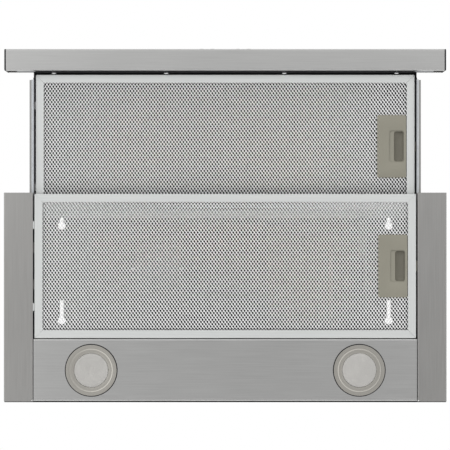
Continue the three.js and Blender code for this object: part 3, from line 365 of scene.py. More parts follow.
def drilled(piece, cutters):
    """Takes the cutters out of a piece with exact booleans, and removes them."""
    for cutter in cutters:
        step = piece.modifiers.new("cut", "BOOLEAN")
        step.object, step.operation, step.solver = cutter, "DIFFERENCE", "EXACT"
    graph = bpy.context.evaluated_depsgraph_get()
    mesh = bpy.data.meshes.new_from_object(piece.evaluated_get(graph))
    piece.modifiers.clear()
    piece.data = mesh
    shaded(mesh)
    for cutter in cutters:
        bpy.data.objects.remove(cutter)
    return piece


def depth_of(node):
    """The least and greatest Y of a solid, in millimetres."""
    low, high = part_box(node)
    return low.y / MM, high.y / MM


# ---------------- finishes

def bare_tree(owner):
    """An emptied node tree of a material or a world."""
    owner.use_nodes = True
    owner.node_tree.nodes.clear()
    return owner.node_tree


def connect(tree, node, sockets):
    """Gives each socket its value, another node's output, or another node's first live output."""
    for socket, value in sockets.items():
        if isinstance(value, bpy.types.Node):
            value = next(output for output in value.outputs if output.enabled)
        if isinstance(value, bpy.types.NodeSocket):
            tree.links.new(value, node.inputs[socket])
        else:
            node.inputs[socket].default_value = value


def add(tree, kind, sockets=None, **settings):
    """Adds one shader node with its own settings and what its sockets take."""
    node = tree.nodes.new("ShaderNode" + kind)
    for name, value in settings.items():
        setattr(node, name, value)
    connect(tree, node, sockets or {})
    return node


def coat(tree, shader, tint, gloss, relief=None, ends=(0.3, 0.7), plain=None):
    """Lets patterns drive the shader, and returns the ramp of its colour.

    tint is a pattern, a colour, and how far the darker and lighter shades lie from it; ends
    are the pattern's values at which they are reached. gloss is a pattern and the roughness
    at its least and most. relief is a pattern, its height in millimetres and its strength as
    a bump. plain holds what is the same all over, for the shader's own sockets.
    """
    pattern, base, spread = tint
    ramp = add(tree, "ValToRGB", {"Fac": pattern})
    for end, position, factor in zip(ramp.color_ramp.elements, ends, (1 - spread, 1 + spread)):
        end.position, end.color = position, [min(c * factor, 1) for c in base] + [1]
    roughness = add(tree, "MapRange", {"Value": gloss[0], "To Min": gloss[1], "To Max": gloss[2]})
    connect(tree, shader, {"Base Color": ramp, "Roughness": roughness, **(plain or {})})
    if relief:
        pattern, height, strength = relief
        sockets = {"Height": pattern, "Distance": height * MM, "Strength": strength}
        connect(tree, shader, {"Normal": add(tree, "Bump", sockets)})
    return ramp


# What bare metal gives the shader all over.
METAL = {"Metallic": 1.0}


def brushed_stainless(tree, shader, place, base, along):
    """Stainless sheet brushed with an abrasive belt: long fine lines one way, satin across."""
    sizes = bpy.context.scene.hood_sheet
    stretch = [1 / sizes.grain] * 3
    stretch["XYZ".index(along)] = 1 / sizes.grain_length
    lines = add(tree, "Mapping", {"Vector": place, "Scale": stretch})
    fine = add(tree, "TexNoise", {"Vector": lines, "Scale": 1.0, "Detail": 3.0, "Roughness": 0.6})
    cloud = add(tree, "TexNoise", {"Vector": place, "Scale": 9.0, "Detail": 2.0})
    both = add(tree, "Mix", {"Factor": 0.3, "A": fine, "B": cloud})
    coat(tree, shader, (both, base, 0.075), (fine, 0.3, 0.44), (fine, 0.02, 0.5), plain=METAL)


def zinc_plated(tree, shader, place, base):
    """Hot-dip zinc on thin sheet: dull, with crystal flakes some 5 mm across."""
    flakes = add(tree, "TexVoronoi", {"Vector": place, "Scale": 190.0, "Randomness": 1.0})
    flake = add(tree, "SeparateColor", {"Color": flakes.outputs["Color"]})
    haze = add(tree, "TexNoise", {"Vector": place, "Scale": 40.0, "Detail": 4.0})
    both = add(tree, "Mix", {"Factor": 0.5, "A": flake, "B": haze})
    gloss = (flake, 0.36, 0.52)
    return coat(tree, shader, (both, base, 0.09), gloss, ends=(0.2, 0.8), plain=METAL)


def zinc_with_painted_shade_inside(tree, shader, place, base):
    """Zinc-plated sheet whose inner faces carry painted shade in the tray's black, so that the
    housing's inside looks dark through the filter holes.

    Those are the faces whose points lie inside a box half a sheet within the fan housing's
    outer faces, or below the tray's upper face.
    """
    shade = zinc_plated(tree, shader, place, base)
    middle = (0, (HOUSING_FRONT + HOUSING_REAR) / 2 * MM, 0)
    half_depth = (HOUSING_REAR - HOUSING_FRONT) / 2
    reach = [(half - SHEET / 2) * MM for half in (HOUSING_X, half_depth, HOUSING_ROOF)]
    offset = add(tree, "VectorMath", {0: place, 1: middle}, operation="SUBTRACT")
    share = add(tree, "VectorMath", {0: offset, 1: reach}, operation="DIVIDE")
    size = add(tree, "VectorMath", {0: share}, operation="ABSOLUTE")
    axes = add(tree, "SeparateXYZ", {"Vector": size}).outputs
    wider = add(tree, "Math", {0: axes["X"], 1: axes["Y"]}, operation="MAXIMUM")
    widest = add(tree, "Math", {0: wider, 1: axes["Z"]}, operation="MAXIMUM")
    inner = add(tree, "Math", {0: widest, 1: 1.0}, operation="LESS_THAN")
    height = add(tree, "SeparateXYZ", {"Vector": place}).outputs["Z"]
    below = add(tree, "Math", {0: height, 1: -SHEET / 2 * MM}, operation="LESS_THAN")
    # The mask of painted shade: inside the housing or below the tray, the sheet is black and not
    # metallic.
    within = add(tree, "Math", {0: inner, 1: below}, operation="MAXIMUM")
    bare = add(tree, "Math", {0: 1.0, 1: within}, operation="SUBTRACT")
    black = [*bpy.context.scene.hood_colours.powder, 1]
    mixed = add(tree, "Mix", {"Factor": within, "A": shade, "B": black}, data_type="RGBA")
    connect(tree, shader, {"Base Color": mixed, "Metallic": bare})


def powder_coat(tree, shader, place, base):
    """Baked polyester powder: a fine orange peel, grains about 0.8 mm across."""
    peel = add(tree, "TexNoise", {"Vector": place, "Scale": 1250.0, "Detail": 2.0})
    coat(tree, shader, (peel, base, 0.2), (peel, 0.42, 0.56), (peel, 0.05, 0.6))


def rolled_aluminium(tree, shader, place, base, along):
    """Mill-finish aluminium from the rolls: satin, with soft lines along the strip."""
    stretch = [700.0] * 3
    stretch["XYZ".index(along)] = 9.0
    lines = add(tree, "Mapping", {"Vector": place, "Scale": stretch})
    streaks = add(tree, "TexNoise", {"Vector": lines, "Scale": 1.0, "Detail": 2.0})
    coat(tree, shader, (streaks, base, 0.035), (streaks, 0.54, 0.66), plain=METAL)


def expanded_aluminium(tree, shader, place, base):
    """Slit and stretched aluminium: torn strands that catch the light unevenly."""
    torn = add(tree, "TexNoise", {"Vector": place, "Scale": 420.0, "Detail": 3.0})
    coat(tree, shader, (torn, base, 0.12), (torn, 0.3, 0.5), (torn, 0.06, 0.5), plain=METAL)


def moulded_plastic(tree, shader, place, base, roughness, sheen=0.5):
    """Moulded ABS or PBT: soft sheen, the eroded grain of its tool about 0.7 mm across."""
    spark = add(tree, "TexNoise", {"Vector": place, "Scale": 1000.0 / 0.7, "Detail": 2.0})
    flow = add(tree, "TexNoise", {"Vector": place, "Scale": 25.0, "Detail": 1.0})
    both = add(tree, "Mix", {"Factor": 0.5, "A": spark, "B": flow})
    gloss = (spark, roughness - 0.06, roughness + 0.08)
    plain = {"IOR": 1.53, "Specular IOR Level": sheen}
    coat(tree, shader, (both, base, 0.07), gloss, (spark, 0.04, 0.5), plain=plain)


def frosted_glass(tree, shader, place, base):
    """Acid-etched lens glass: milky, soft, with a faint sheen at a low angle."""
    etch = add(tree, "TexNoise", {"Vector": place, "Scale": 900.0, "Detail": 3.0})
    cloud = add(tree, "TexNoise", {"Vector": place, "Scale": 60.0, "Detail": 1.0})
    plain = {"Transmission Weight": 0.25, "IOR": 1.5}
    coat(tree, shader, (cloud, base, 0.04), (etch, 0.5, 0.66), (etch, 0.03, 0.5), plain=plain)


def turned_nickel(tree, shader, place, base):
    """Satin nickel on a turned ring: fine circles about the lamp, a millimetre apart."""
    parts = add(tree, "SeparateXYZ", {"Vector": place}).outputs
    across = add(tree, "Math", {0: parts["X"]}, operation="ABSOLUTE")
    level = add(tree, "CombineXYZ", {"X": across, "Y": parts["Y"]})
    centre = (LAMP_X * MM, LAMP_Y * MM, 0)
    radius = add(tree, "VectorMath", {0: level, 1: centre}, operation="DISTANCE")
    lines = add(tree, "TexNoise", noise_dimensions="1D")
    connect(tree, lines, {"W": radius, "Scale": 1100.0, "Detail": 2.0})
    coat(tree, shader, (lines, base, 0.07), (lines, 0.28, 0.42), plain=METAL)


def plated_steel(tree, shader, place, base, roughness):
    """Nickel over pressed steel: bright, with a slight ripple from the barrel."""
    ripple = add(tree, "TexNoise", {"Vector": place, "Scale": 260.0, "Detail": 3.0})
    gloss = (ripple, roughness - 0.05, roughness + 0.1)
    coat(tree, shader, (ripple, base, 0.05), gloss, plain=METAL)


def laminated_steel(tree, shader, place, base):
    """Punched laminations and die-cast caps: grey, with the edges of half-millimetre sheets."""
    sockets = {"Vector": place, "Scale": 160.0, "Distortion": 0.4}
    layers = add(tree, "TexWave", sockets, bands_direction="X").outputs["Fac"]
    plain = {"Metallic": 0.9}
    coat(tree, shader, (layers, base, 0.1), (layers, 0.4, 0.55), ends=(0.1, 0.9), plain=plain)


# Each finish: the function that makes it, its colour, and what else the function takes.
FINISHES = {
    "brushed_stainless_front": (brushed_stainless, "front_steel", "X"),
    "brushed_stainless_wing": (brushed_stainless, "wing_steel", "Y"),
    "brushed_stainless_panel": (brushed_stainless, "panel_steel", "X"),
    "zinc_plated_sheet": (zinc_plated, "zinc"),
    "zinc_plated_sheet_coated_inside": (zinc_with_painted_shade_inside, "zinc"),
    "black_powder_coat": (powder_coat, "powder"),
    "rolled_aluminium_across": (rolled_aluminium, "frame_aluminium", "X"),
    "rolled_aluminium_along": (rolled_aluminium, "frame_aluminium", "Y"),
    "mill_dull_aluminium": (rolled_aluminium, "dull_aluminium", "X"),
    "expanded_aluminium": (expanded_aluminium, "mesh_aluminium"),
    "moulded_abs_olive": (moulded_plastic, "latch_abs", 0.52),
    "moulded_abs_finger_cup": (moulded_plastic, "cup_abs", 0.6, 0.3),
    "moulded_abs_black": (moulded_plastic, "black_abs", 0.55, 0.3),
    "moulded_abs_grey": (moulded_plastic, "grey_abs", 0.5),
    "moulded_pbt_white": (moulded_plastic, "white_pbt", 0.42),
    "frosted_lens_glass": (frosted_glass, "lens"),
    "turned_satin_nickel": (turned_nickel, "lamp_ring"),
    "bright_nickel_steel": (plated_steel, "nickel", 0.2),
    "oiled_slide_steel": (plated_steel, "slide_steel", 0.34),
    "laminated_motor_steel": (laminated_steel, "motor_steel"),
}


def finish(name):
    """The named finish, made once and then shared."""
    if name not in bpy.data.materials:
        make, tint, *settings = FINISHES[name]
        tree = bare_tree(bpy.data.materials.new(name))
        shader = add(tree, "BsdfPrincipled")
        add(tree, "OutputMaterial", {"Surface": shader})
        place = add(tree, "TexCoord").outputs["Object"]
        make(tree, shader, place, getattr(bpy.context.scene.hood_colours, tint), *settings)
    return bpy.data.materials[name]


def seat(piece, body, slot, finish_name, *nodes):
    """Gives a piece its finish and body, and lets it stand for solids."""
    piece.data.materials.clear()
    piece.data.materials.append(finish(finish_name))
    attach(piece, body)
    if nodes:
        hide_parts(*nodes)


def dress(finish_name, *nodes):
    """Gives solids that keep their own shape a finish."""
    for node in nodes:
        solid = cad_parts[node]
        if not solid.material_slots:
            solid.data.materials.append(None)
        for place in solid.material_slots:
            place.material = finish(finish_name)


# ---------------- the hood's pieces

class HOOD_OT_wings(Operator):
    """Folds the two side wings from brushed sheet, with lip, front closure and filter slots"""

    bl_idname = "hood.wings"
    bl_label = "Side wings"

    def execute(self, context):
        bend = context.scene.hood_sheet.wing_bend / MM
        filter_y = FILTERS["rear"][0]
        for side, word in SIDES:
            inner, outer, flange = side * 260.6, side * 299.1, side * 273.8
            line = [
                (inner, -33.2), (inner, LOW_SHEET), (outer, LOW_SHEET), (outer, -0.4),
                (flange, -0.4),
            ]
            fold = carried("fold", folded(line, SHEET, bend), (WING_FRONT, WING_REAR), "Y")
            front = (WING_FRONT + 0.05, WING_FRONT + SHEET)
            closure = box((flange, outer), front, (-42.2, -0.8))
            stops = [
                box((inner, inner - side * 6), (y - 7, y + 7), (-33.6, -32.8))
                for y in (filter_y - 25, filter_y + 25)
            ]
            # The rear filter's two tabs go into the left wing, and its latch tongue into the right.
            if word == "left":
                cuts = [
                    box((-263.2, -258.2), (y - 6.25, y + 6.25), (-42.2, -37))
                    for y in (filter_y - TAB_REACH, filter_y + TAB_REACH)
                ]
            else:
                cuts = [box((258.2, 263.2), (filter_y - 8, filter_y + 8), (-39.8, -36.4))]
            # The rear inner corner is cut off at a slant, 3 mm wide.
            edge, past = side * 260.2, 13
            wide, narrow = edge + side * 3, edge - side * 4
            corner = [
                (wide, WING_REAR), (wide, past), (narrow, past), (narrow, WING_REAR - 3),
                (edge, WING_REAR - 3),
            ]
            cuts.append(stacked("corner", [np.array(corner)] * 2, [-44, -41.8]))
            wing = drilled(joined(f"{word}_wing_shell", [fold, closure, *stops]), cuts)
            seat(wing, "root", "brushed_steel", "brushed_stainless_wing", f"{word}_side_wing")
        return {"FINISHED"}


class HOOD_OT_lamp_panel(Operator):
    """Folds the lamp panel and cuts its two lamp holes"""

    bl_idname = "hood.lamp_panel"
    bl_label = "Lamp panel"

    def execute(self, context):
        bend = context.scene.hood_sheet.panel_bend / MM
        line = [(-73.5, -34.0), (-73.5, LOW_SHEET), (10.6, LOW_SHEET), (10.6, -1.5), (-3.0, -1.5)]
        panel = carried("lamp_panel_sheet", folded(line, SHEET, bend), (-259.3, 259.3), "X")
        holes = [bore((side * LAMP_X, LAMP_Y, -42), 30.5, 4) for side, _ in SIDES]
        panel = drilled(panel, holes)
        seat(panel, "root", "brushed_steel", "brushed_stainless_panel", "lamp_panel")
        return {"FINISHED"}


class HOOD_OT_lamps(Operator):
    """Turns the lamp rings, a thin black ring round each as painted shadow, and their frosted lenses
    """

    bl_idname = "hood.lamps"
    bl_label = "Lamps"

    def execute(self, context):
        ring = [
            (34.4, -0.5), (34.4, -1.45), (34.25, -1.6), (34.0, -1.6), (29.3, -1.6), (29.0, -1.57),
            (28.2, -1.23), (27.9, -1.2), (27.6, -1.2), (24.2, -1.12), (23.7, -1.06), (23.35, -0.8),
            (23.2, -0.4), (23.2, 1.2), (28.3, 1.2), (28.3, 8.0), (29.8, 8.0), (29.8, -0.1),
            (33.0, -0.1), (33.2, -0.5),
        ]
        # A thin black ring round each lamp ring: painted shadow, the dark line of the gap at the
        # ring's edge.
        painted_shadow_profile = [(33.4, -0.05), (33.4, -0.45), (35.5, -0.45), (35.7, -0.3), (35.7, -0.05)]
        lens = [
            (0, -1.3), (8, -1.27), (15, -1.15), (20, -0.98), (22.2, -0.85), (22.9, -0.5),
            (22.9, 1.5), (27.8, 1.5), (27.8, 2.8), (0, 2.8),
        ]
        for side, word in SIDES:
            centre, bezel = (side * LAMP_X, LAMP_Y, UNDERSIDE), f"{word}_lamp_bezel"
            rim = turned(f"{word}_lamp_ring", ring, centre, "Z", 96, True, smooth_angle=28)
            seat(rim, "root", "satin_nickel", "turned_satin_nickel", bezel)
            painted_shadow_ring = turned(f"{word}_lamp_seal", painted_shadow_profile, centre, "Z", 96, True)
            seat(painted_shadow_ring, "root", "black_abs", "moulded_abs_black", bezel)
            glass = turned(f"{word}_lamp_glass", lens, centre, "Z", 96, smooth_angle=40)
            seat(glass, "root", "frosted_glass", "frosted_lens_glass", f"{word}_lamp_lens")
        dress("laminated_motor_steel", "left_lamp_body", "right_lamp_body")
        return {"FINISHED"}


class HOOD_OT_front_panel(Operator):
    """Folds the front panel, cuts its button holes, and adds the moulded end caps"""

    bl_idname = "hood.front_panel"
    bl_label = "Front panel"

    def execute(self, context):
        bend = context.scene.hood_sheet.front_bend / MM
        rear, front = PANEL_REAR - SHEET / 2, PANEL_FRONT + SHEET / 2
        line = [
            (rear, -34.6), (rear, LOW_SHEET), (front, LOW_SHEET), (front, -3.4), (rear, -3.4),
            (rear, -11.4),
        ]
        panel = carried("front_panel_sheet", folded(line, SHEET, bend), (-296.7, 296.7), "X")
        holes = [bore((x, PANEL_FRONT, PANEL_MIDDLE_Z), 5.1, 3, "Y", 32) for x in BUTTON_X]
        seat(drilled(panel, holes), "drawer", "brushed_steel", "brushed_stainless_front", "fascia")
        middle = ((PANEL_FRONT + PANEL_REAR) / 2, PANEL_MIDDLE_Z)
        for side, word in SIDES:
            outlines = [rounded(middle, 29 - 2 * i, 40 - 2 * i, 1.6) for i in (0, 0, 0.35, 1.2)]
            face = stacked("face", outlines, [side * h for h in (296.8, 298.3, 298.85, 299.0)], "X")
            walls = ((25.2, 37.2), (25.2, 37.2), (22.4, 34.4), (22.4, 34.4))
            tube = [rounded(middle, width, height, 1.2) for width, height in walls]
            reach = [side * h for h in (297.2, 293.4, 293.4, 297.2)]
            cap = joined(f"{word}_end_cap", [face, stacked("plug", tube, reach, "X", closed=True)])
            seat(cap, "drawer", "black_abs", "moulded_abs_black", f"fascia_cap_{word}")
        dress("zinc_plated_sheet", "fascia_backplate")
        return {"FINISHED"}


class HOOD_OT_buttons(Operator):
    """Turns the four push buttons and dresses the switch block behind them"""

    bl_idname = "hood.buttons"
    bl_label = "Push buttons"

    def execute(self, context):
        profile = [
            (0, -2), (1.6, -1.97), (3.0, -1.85), (3.9, -1.65), (4.4, -1.35), (4.65, -0.9),
            (4.7, -0.4), (4.7, 2), (3, 2), (3, 16), (0, 16),
        ]
        for i, x in enumerate(BUTTON_X, 1):
            centre = (x, PANEL_FRONT, PANEL_MIDDLE_Z)
            button = turned(f"button_cap_{i}", profile, centre, "Y", 48)
            # The buttons' darker steel is painted shade on their domes.
            seat(button, f"button_{i}", "bright_steel", "oiled_slide_steel", f"push_button_{i}")
        dress("moulded_abs_grey", "switch_block")
        return {"FINISHED"}


class HOOD_OT_screws(Operator):
    """Turns the pan-head screws of the front panel and cuts their cross recesses"""

    bl_idname = "hood.screws"
    bl_label = "Front panel screws"

    def execute(self, context):
        profile = [
            (0, -10), (1.6, -9.6), (2, -9), (2, 0), (4.3, 0), (4.4, 0.3), (4.3, 0.8), (3.8, 1.4),
            (2.9, 1.9), (1.6, 2.15), (0, 2.2),
        ]
        deep = (SCREW_SEAT + 1.1, SCREW_SEAT + 4)
        for i, x in enumerate(SCREW_X, 1):
            centre = (x, SCREW_SEAT, PANEL_MIDDLE_Z)
            screw = turned(f"panel_screw_{i}", profile, centre, "Y", 32)
            slots = [
                slab("slot", (x, PANEL_MIDDLE_Z), size, deep, "Y", radius=0.3)
                for size in ((4.2, 0.9), (0.9, 4.2))
            ]
            screw = drilled(screw, slots)
            seat(screw, "drawer", "bright_steel", "bright_nickel_steel", f"fascia_screw_{i}")
        return {"FINISHED"}


class HOOD_OT_drawer(Operator):
    """Folds the drawer's rails and lips, and dresses its frame, its cover and the fixed slides"""

    bl_idname = "hood.drawer"
    bl_label = "Drawer"

    def execute(self, context):
        # The drawer cover's black is painted shade, dark behind the filter holes; the frame's black
        # is its own.
        dress("black_powder_coat", "drawer_frame", "drawer_cover")
        dress("oiled_slide_steel", "left_fixed_slide", "right_fixed_slide")
        for side, word in SIDES:
            span = depth_of(f"{word}_drawer_slide")
            web = 262.7
            # The rail's darker steel is painted shade, for the shadow it lies in above the lip.
            section = folded(channel(side, 266.8, web, -22.6, -12.4), SHEET, 1.2)
            rail = carried(f"{word}_drawer_rail", section, span, "Y")
            rivets = (span[0] + 40, sum(span) / 2)
            rail = drilled(rail, [bore((side * web, y, -17.5), 2.2, 3, "X", 24) for y in rivets])
            seat(rail, "drawer", "bright_steel", "oiled_slide_steel", f"{word}_drawer_slide")
            hem = [(side * 260.3, -30.7), (side * 262.4, -30.7), (side * 263.3, -30.2)]
            lip = carried(f"{word}_drawer_lip", folded(hem, 0.5, 0.5), span, "Y")
            seat(lip, "drawer", "zinc_sheet", "zinc_plated_sheet")
        return {"FINISHED"}


class HOOD_OT_ball_cages(Operator):
    """Folds the ball cages and sets round balls in them"""

    bl_idname = "hood.ball_cages"
    bl_label = "Ball cages"

    def execute(self, context):
        radius, pitch, rows = 1.55, 20, (-24.8, -10.2)
        polar = np.linspace(0, math.pi, 13)
        ball = radius * np.stack([np.sin(polar), np.cos(polar)], 1)
        for side, word in SIDES:
            span = depth_of(f"{word}_ball_cage")
            section = folded(channel(side, 264.2, 268.9, *rows), SHEET, 1.0)
            strip = carried("strip", section, span, "Y")
            balls = [
                turned("ball", ball, (side * 266, span[0] + pitch * (i + 0.5), z), "Y", 20)
                for z in rows for i in range(3)
            ]
            cage = joined(f"{word}_cage_strip", [strip, *balls])
            seat(cage, f"{word}_cage", "bright_steel", "bright_nickel_steel", f"{word}_ball_cage")
        return {"FINISHED"}


def mitred_bar(section, y, z, along, sign, gap):
    """One bar of a frame: each point of its section stops on the 45 degree mitre."""
    run, reach = FILTER_HALF if along == "X" else FILTER_HALF[::-1]

    def stop(end):
        def place(p):
            u, v = end * (run - p[:, 0] - gap / 2), sign * (reach - p[:, 0])
            u, v = (u, v) if along == "X" else (v, u)
            return laid(u, v + y, p[:, 1] + z, "Z")
        return place

    return sheet_metal("bar", section, stop(-1), stop(1))


class HOOD_OT_filter_frames(Operator):
    """Rolls the four mitred bars of each filter frame and cuts the latch slot"""

    bl_idname = "hood.filter_frames"
    bl_label = "Filter frames"

    def execute(self, context):
        gap = context.scene.hood_filter.mitre_gap / MM
        # The bars are drawn from 0.3 mm strip, so that their outer bends are as tight as they look.
        section = folded([(7, 8.85), (0.15, 8.85), (0.15, 0.15), (10.85, 0.15)], 0.3, 0.2)
        for word, (y, z) in FILTERS.items():
            body, node, slot = f"{word}_filter", f"{word}_filter_frame", "filter_aluminium"
            across, along = (
                [mitred_bar(section, y, z, axis, sign, gap) for sign in (-1, 1)] for axis in "XY"
            )
            if word == "front":
                # The rear bar lies above the rear filter and shows only through its mesh; its darker
                # grey is painted shade, for the shadow of that mesh.
                hidden = joined("front_frame_hidden_bar", [across.pop()])
                seat(hidden, body, slot, "mill_dull_aluminium", node)
            across = joined(f"{word}_frame_bars_across", across)
            seat(across, body, slot, "rolled_aluminium_across", node)
            along += [
                slab("tab", (-260.2, tab_y), (3.6, 10.5), (z + 1.1, z + 2.1), radius=0.8, edge=0.15)
                for tab_y in (y - TAB_REACH, y + TAB_REACH)
            ]
            cut = box((255, 259), (y - TONGUE_SLOT, y + TONGUE_SLOT), (z + 3.3, z + 6.5))
            along = drilled(joined(f"{word}_frame_bars_along", along), [cut])
            seat(along, body, slot, "rolled_aluminium_along", node)
        return {"FINISHED"}


def expanded_mesh(name, y, z):
    """A staggered lattice of hexagonal holes, one cell a rhombus.

    A cell's four outer corners are the bonds, shared with its neighbours' cells, half a
    pitch away along each axis. Its hole has six corners. The strand between is a ridge:
    it is half a thickness proud at the bonds on both sides and thins to an edge at the
    hole, which leans sideways and is tilted so that one end stands higher, as stretching
    leaves it.
    """
    sizes = bpy.context.scene.hood_filter
    a, b, thickness = sizes.pitch_across / MM, sizes.pitch_along / MM, sizes.strand / MM
    rows, columns = int(2 * NET_HALF[1] / b) + 2, int(NET_HALF[0] / a) + 2
    row = np.arange(-rows, rows + 1)[:, None]
    column = np.arange(-columns, columns + 1)[None, :]
    cx = (column * a + (row % 2) * a / 2).ravel()
    cy = (row * b / 2 + 0 * column).ravel()
    inside = (np.abs(cx) < NET_HALF[0]) & (np.abs(cy) < NET_HALF[1])
    x0, x1, half = LATCH_CLEAR
    kept = inside & ~((cx > x0) & (cx < x1) & (np.abs(cy) < half))
    cx, cy = cx[kept][:, None], cy[kept][:, None]

    u, v = sizes.hole_across / MM / 2, sizes.hole_along / MM / 2
    bonds = np.array([[a / 2, 0], [0, b / 2], [-a / 2, 0], [0, -b / 2]])
    flat = v * 0.3  # half the length of a hole's straight sides
    rim = np.array([[u, flat], [0, v], [-u, flat], [-u, -flat], [0, -v], [u, -flat]])
    rim[:, 0] += sizes.hole_slant / MM * rim[:, 1] / v
    tilt = 0.22 * rim[:, 1] / v * thickness  # as a share of the strand's thickness
    levels = [(bonds, -thickness / 2), (rim, tilt), (bonds, thickness / 2)]
    points = np.concatenate(
        [laid(cx + p[:, 0], cy + p[:, 1] + y, h + z, "Z") for p, h in levels], 1
    )
    # Points 0 to 3 are the lower bonds, 4 to 9 the rim, and 10 to 13 the upper bonds.
    first = np.arange(len(cx))[:, None, None] * points.shape[1]
    faces = []
    for lower in ([[0, 1, 5, 4], [1, 2, 6, 5], [2, 3, 8, 7], [3, 0, 9, 8]], [[0, 4, 9], [2, 7, 6]]):
        lower = np.array(lower)
        upper = np.where(lower < 4, lower + 10, lower)[:, ::-1]
        both = np.concatenate([lower, upper])[None] + first
        faces.append(both.reshape(-1, lower.shape[1]))
    return surface(name, points.reshape(-1, 3), faces, 50)


class HOOD_OT_filter_meshes(Operator):
    """Expands the two layers of mesh in each filter"""

    bl_idname = "hood.filter_meshes"
    bl_label = "Filter meshes"

    def execute(self, context):
        for word, (y, z) in FILTERS.items():
            outer, inner = (
                expanded_mesh(f"{word}_mesh_{layer}", y, z + height)
                for layer, height in zip(("outer", "inner"), NET_LAYERS)
            )
            look = ("filter_aluminium", "expanded_aluminium")
            seat(outer, f"{word}_filter", *look, f"{word}_filter_mesh")
            seat(inner, f"{word}_filter", *look)
        return {"FINISHED"}


class HOOD_OT_latches(Operator):
    """Moulds the latch plates with their windows, and the sliders with finger cups and tongues"""

    bl_idname = "hood.latches"
    bl_label = "Filter latches"

    def execute(self, context):
        for word, (y, z) in FILTERS.items():
            outer = lambda inset: rounded((LATCH_X, y), 39.6 - 2 * inset, 85 - 2 * inset, 2.0)
            window = lambda grow: rounded(
                (WINDOW_X, y), 19.9 + 2 * grow, 42.7 + 2 * grow, 3.2 + grow
            )
            recess = lambda inset: rounded((CUP_X, y), 13 - 2 * inset, 40.6 - 2 * inset, 3.0)

            outlines = [
                outer(0), outer(0), outer(0.12), outer(0.45), window(0.5), window(0.15), window(0),
                window(0), outer(1.2), outer(1.2),
            ]
            heights = z + np.array([7.0, 0.95, 0.6, 0.4, 0.4, 0.52, 0.85, 1.9, 1.9, 7.0])
            plate = stacked(f"{word}_latch_face", outlines, heights, closed=True)
            notch = box((244, 248), (y - TONGUE_SLOT, y + TONGUE_SLOT), (z + 3.3, z + 8))
            plate = drilled(plate, [notch])
            seat(plate, f"{word}_filter", "olive_abs", "moulded_abs_olive", f"{word}_latch_plate")

            # The cup's wall is a quarter ellipse: 4.9 mm deep where it is 6.4 mm in from the rim.
            rim, depth, reach = 3.65, 4.9, 6.4
            insets = np.array([0, 0.1, 0.4, 0.9, 1.6, 2.5, 3.6, 4.8, 5.9])
            wall = rim + depth * np.sqrt(1 - (1 - insets / reach) ** 2)
            outer_cup = rounded((CUP_X, y), 15.4, 43.4, 3.6)
            outlines = [outer_cup, outer_cup, *map(recess, insets)]
            heights = z + np.array([8.9, rim, *wall])
            cup = stacked(f"{word}_latch_cup", outlines, heights, smooth_angle=60)
            node = f"{word}_latch_slider"
            # The cup's darker ABS is painted shade for the depth of the recess.
            seat(cup, f"{word}_latch", "olive_abs", "moulded_abs_finger_cup", node)

            wide = rounded((230, y), 30, 45, 1.5)
            outlines = [wide, wide, recess(-0.5), recess(-0.15), recess(0), recess(0)]
            heights = z + np.array([3.6, 2.2, 2.2, 2.35, 2.7, 3.6])
            body = stacked("sliding_plate", outlines, heights, closed=True)
            thick, tip = rounded((y, z + 4.9), 14, 2.0, 0.3), rounded((y, z + 5.3), 13.4, 1.1, 0.3)
            tongue = stacked("tongue", [thick, thick, tip], [244.1, 260.2, 261.6], "X")
            slider = joined(f"{word}_latch_pull", [body, tongue])
            seat(slider, f"{word}_latch", "olive_abs", "moulded_abs_olive", node)
        return {"FINISHED"}


class HOOD_OT_tray(Operator):
    """Dresses the tray, the limit switch and the LED driver"""

    bl_idname = "hood.tray"
    bl_label = "Tray"

    def execute(self, context):
        # The tray's black coat is painted shade: it keeps the tray dark behind the filter holes.
        dress("black_powder_coat", "base_tray")
        dress("moulded_abs_black", "drawer_switch")
        dress("moulded_pbt_white", "led_driver")
        return {"FINISHED"}


class HOOD_OT_rear_shadow_strip(Operator):
    """Lays a thin black strip along the hood's rear edge: painted shadow, a dark line where the rear
    edge lies in shade
    """

    bl_idname = "hood.wall_strip"
    bl_label = "Wall strip"

    def execute(self, context):
        # Painted shadow: a black strip where the rear edge lies in shade.
        strip = slab("rear_wall_strip", (0, -39.9), (597.6, 5.6), (11.05, 12.0), "Y")
        seat(strip, "root", "black_abs", "moulded_abs_black")
        return {"FINISHED"}


class HOOD_OT_housing(Operator):
    """Dresses the fan housing and turns its cord gland"""

    bl_idname = "hood.housing"
    bl_label = "Fan housing"

    def execute(self, context):
        # The housing's inner faces take painted shade in black, so that its inside looks dark through
        # the filter holes.
        dress("zinc_plated_sheet_coated_inside", "blower_housing")
        profile = [
            (4, -7), (7.9, -7), (7.9, 0.3), (12, 0.3), (12, 4.6), (11.6, 5.0), (10.4, 6), (9.9, 12),
            (9.4, 15.2), (8.6, 16.8), (7.5, 18), (4.4, 18), (4, 17.4),
        ]
        gland = turned("cord_gland_body", profile, (150, -45, HOUSING_ROOF), "Z", 48, True)
        seat(gland, "root", "black_abs", "moulded_abs_black", "cable_gland")
        return {"FINISHED"}


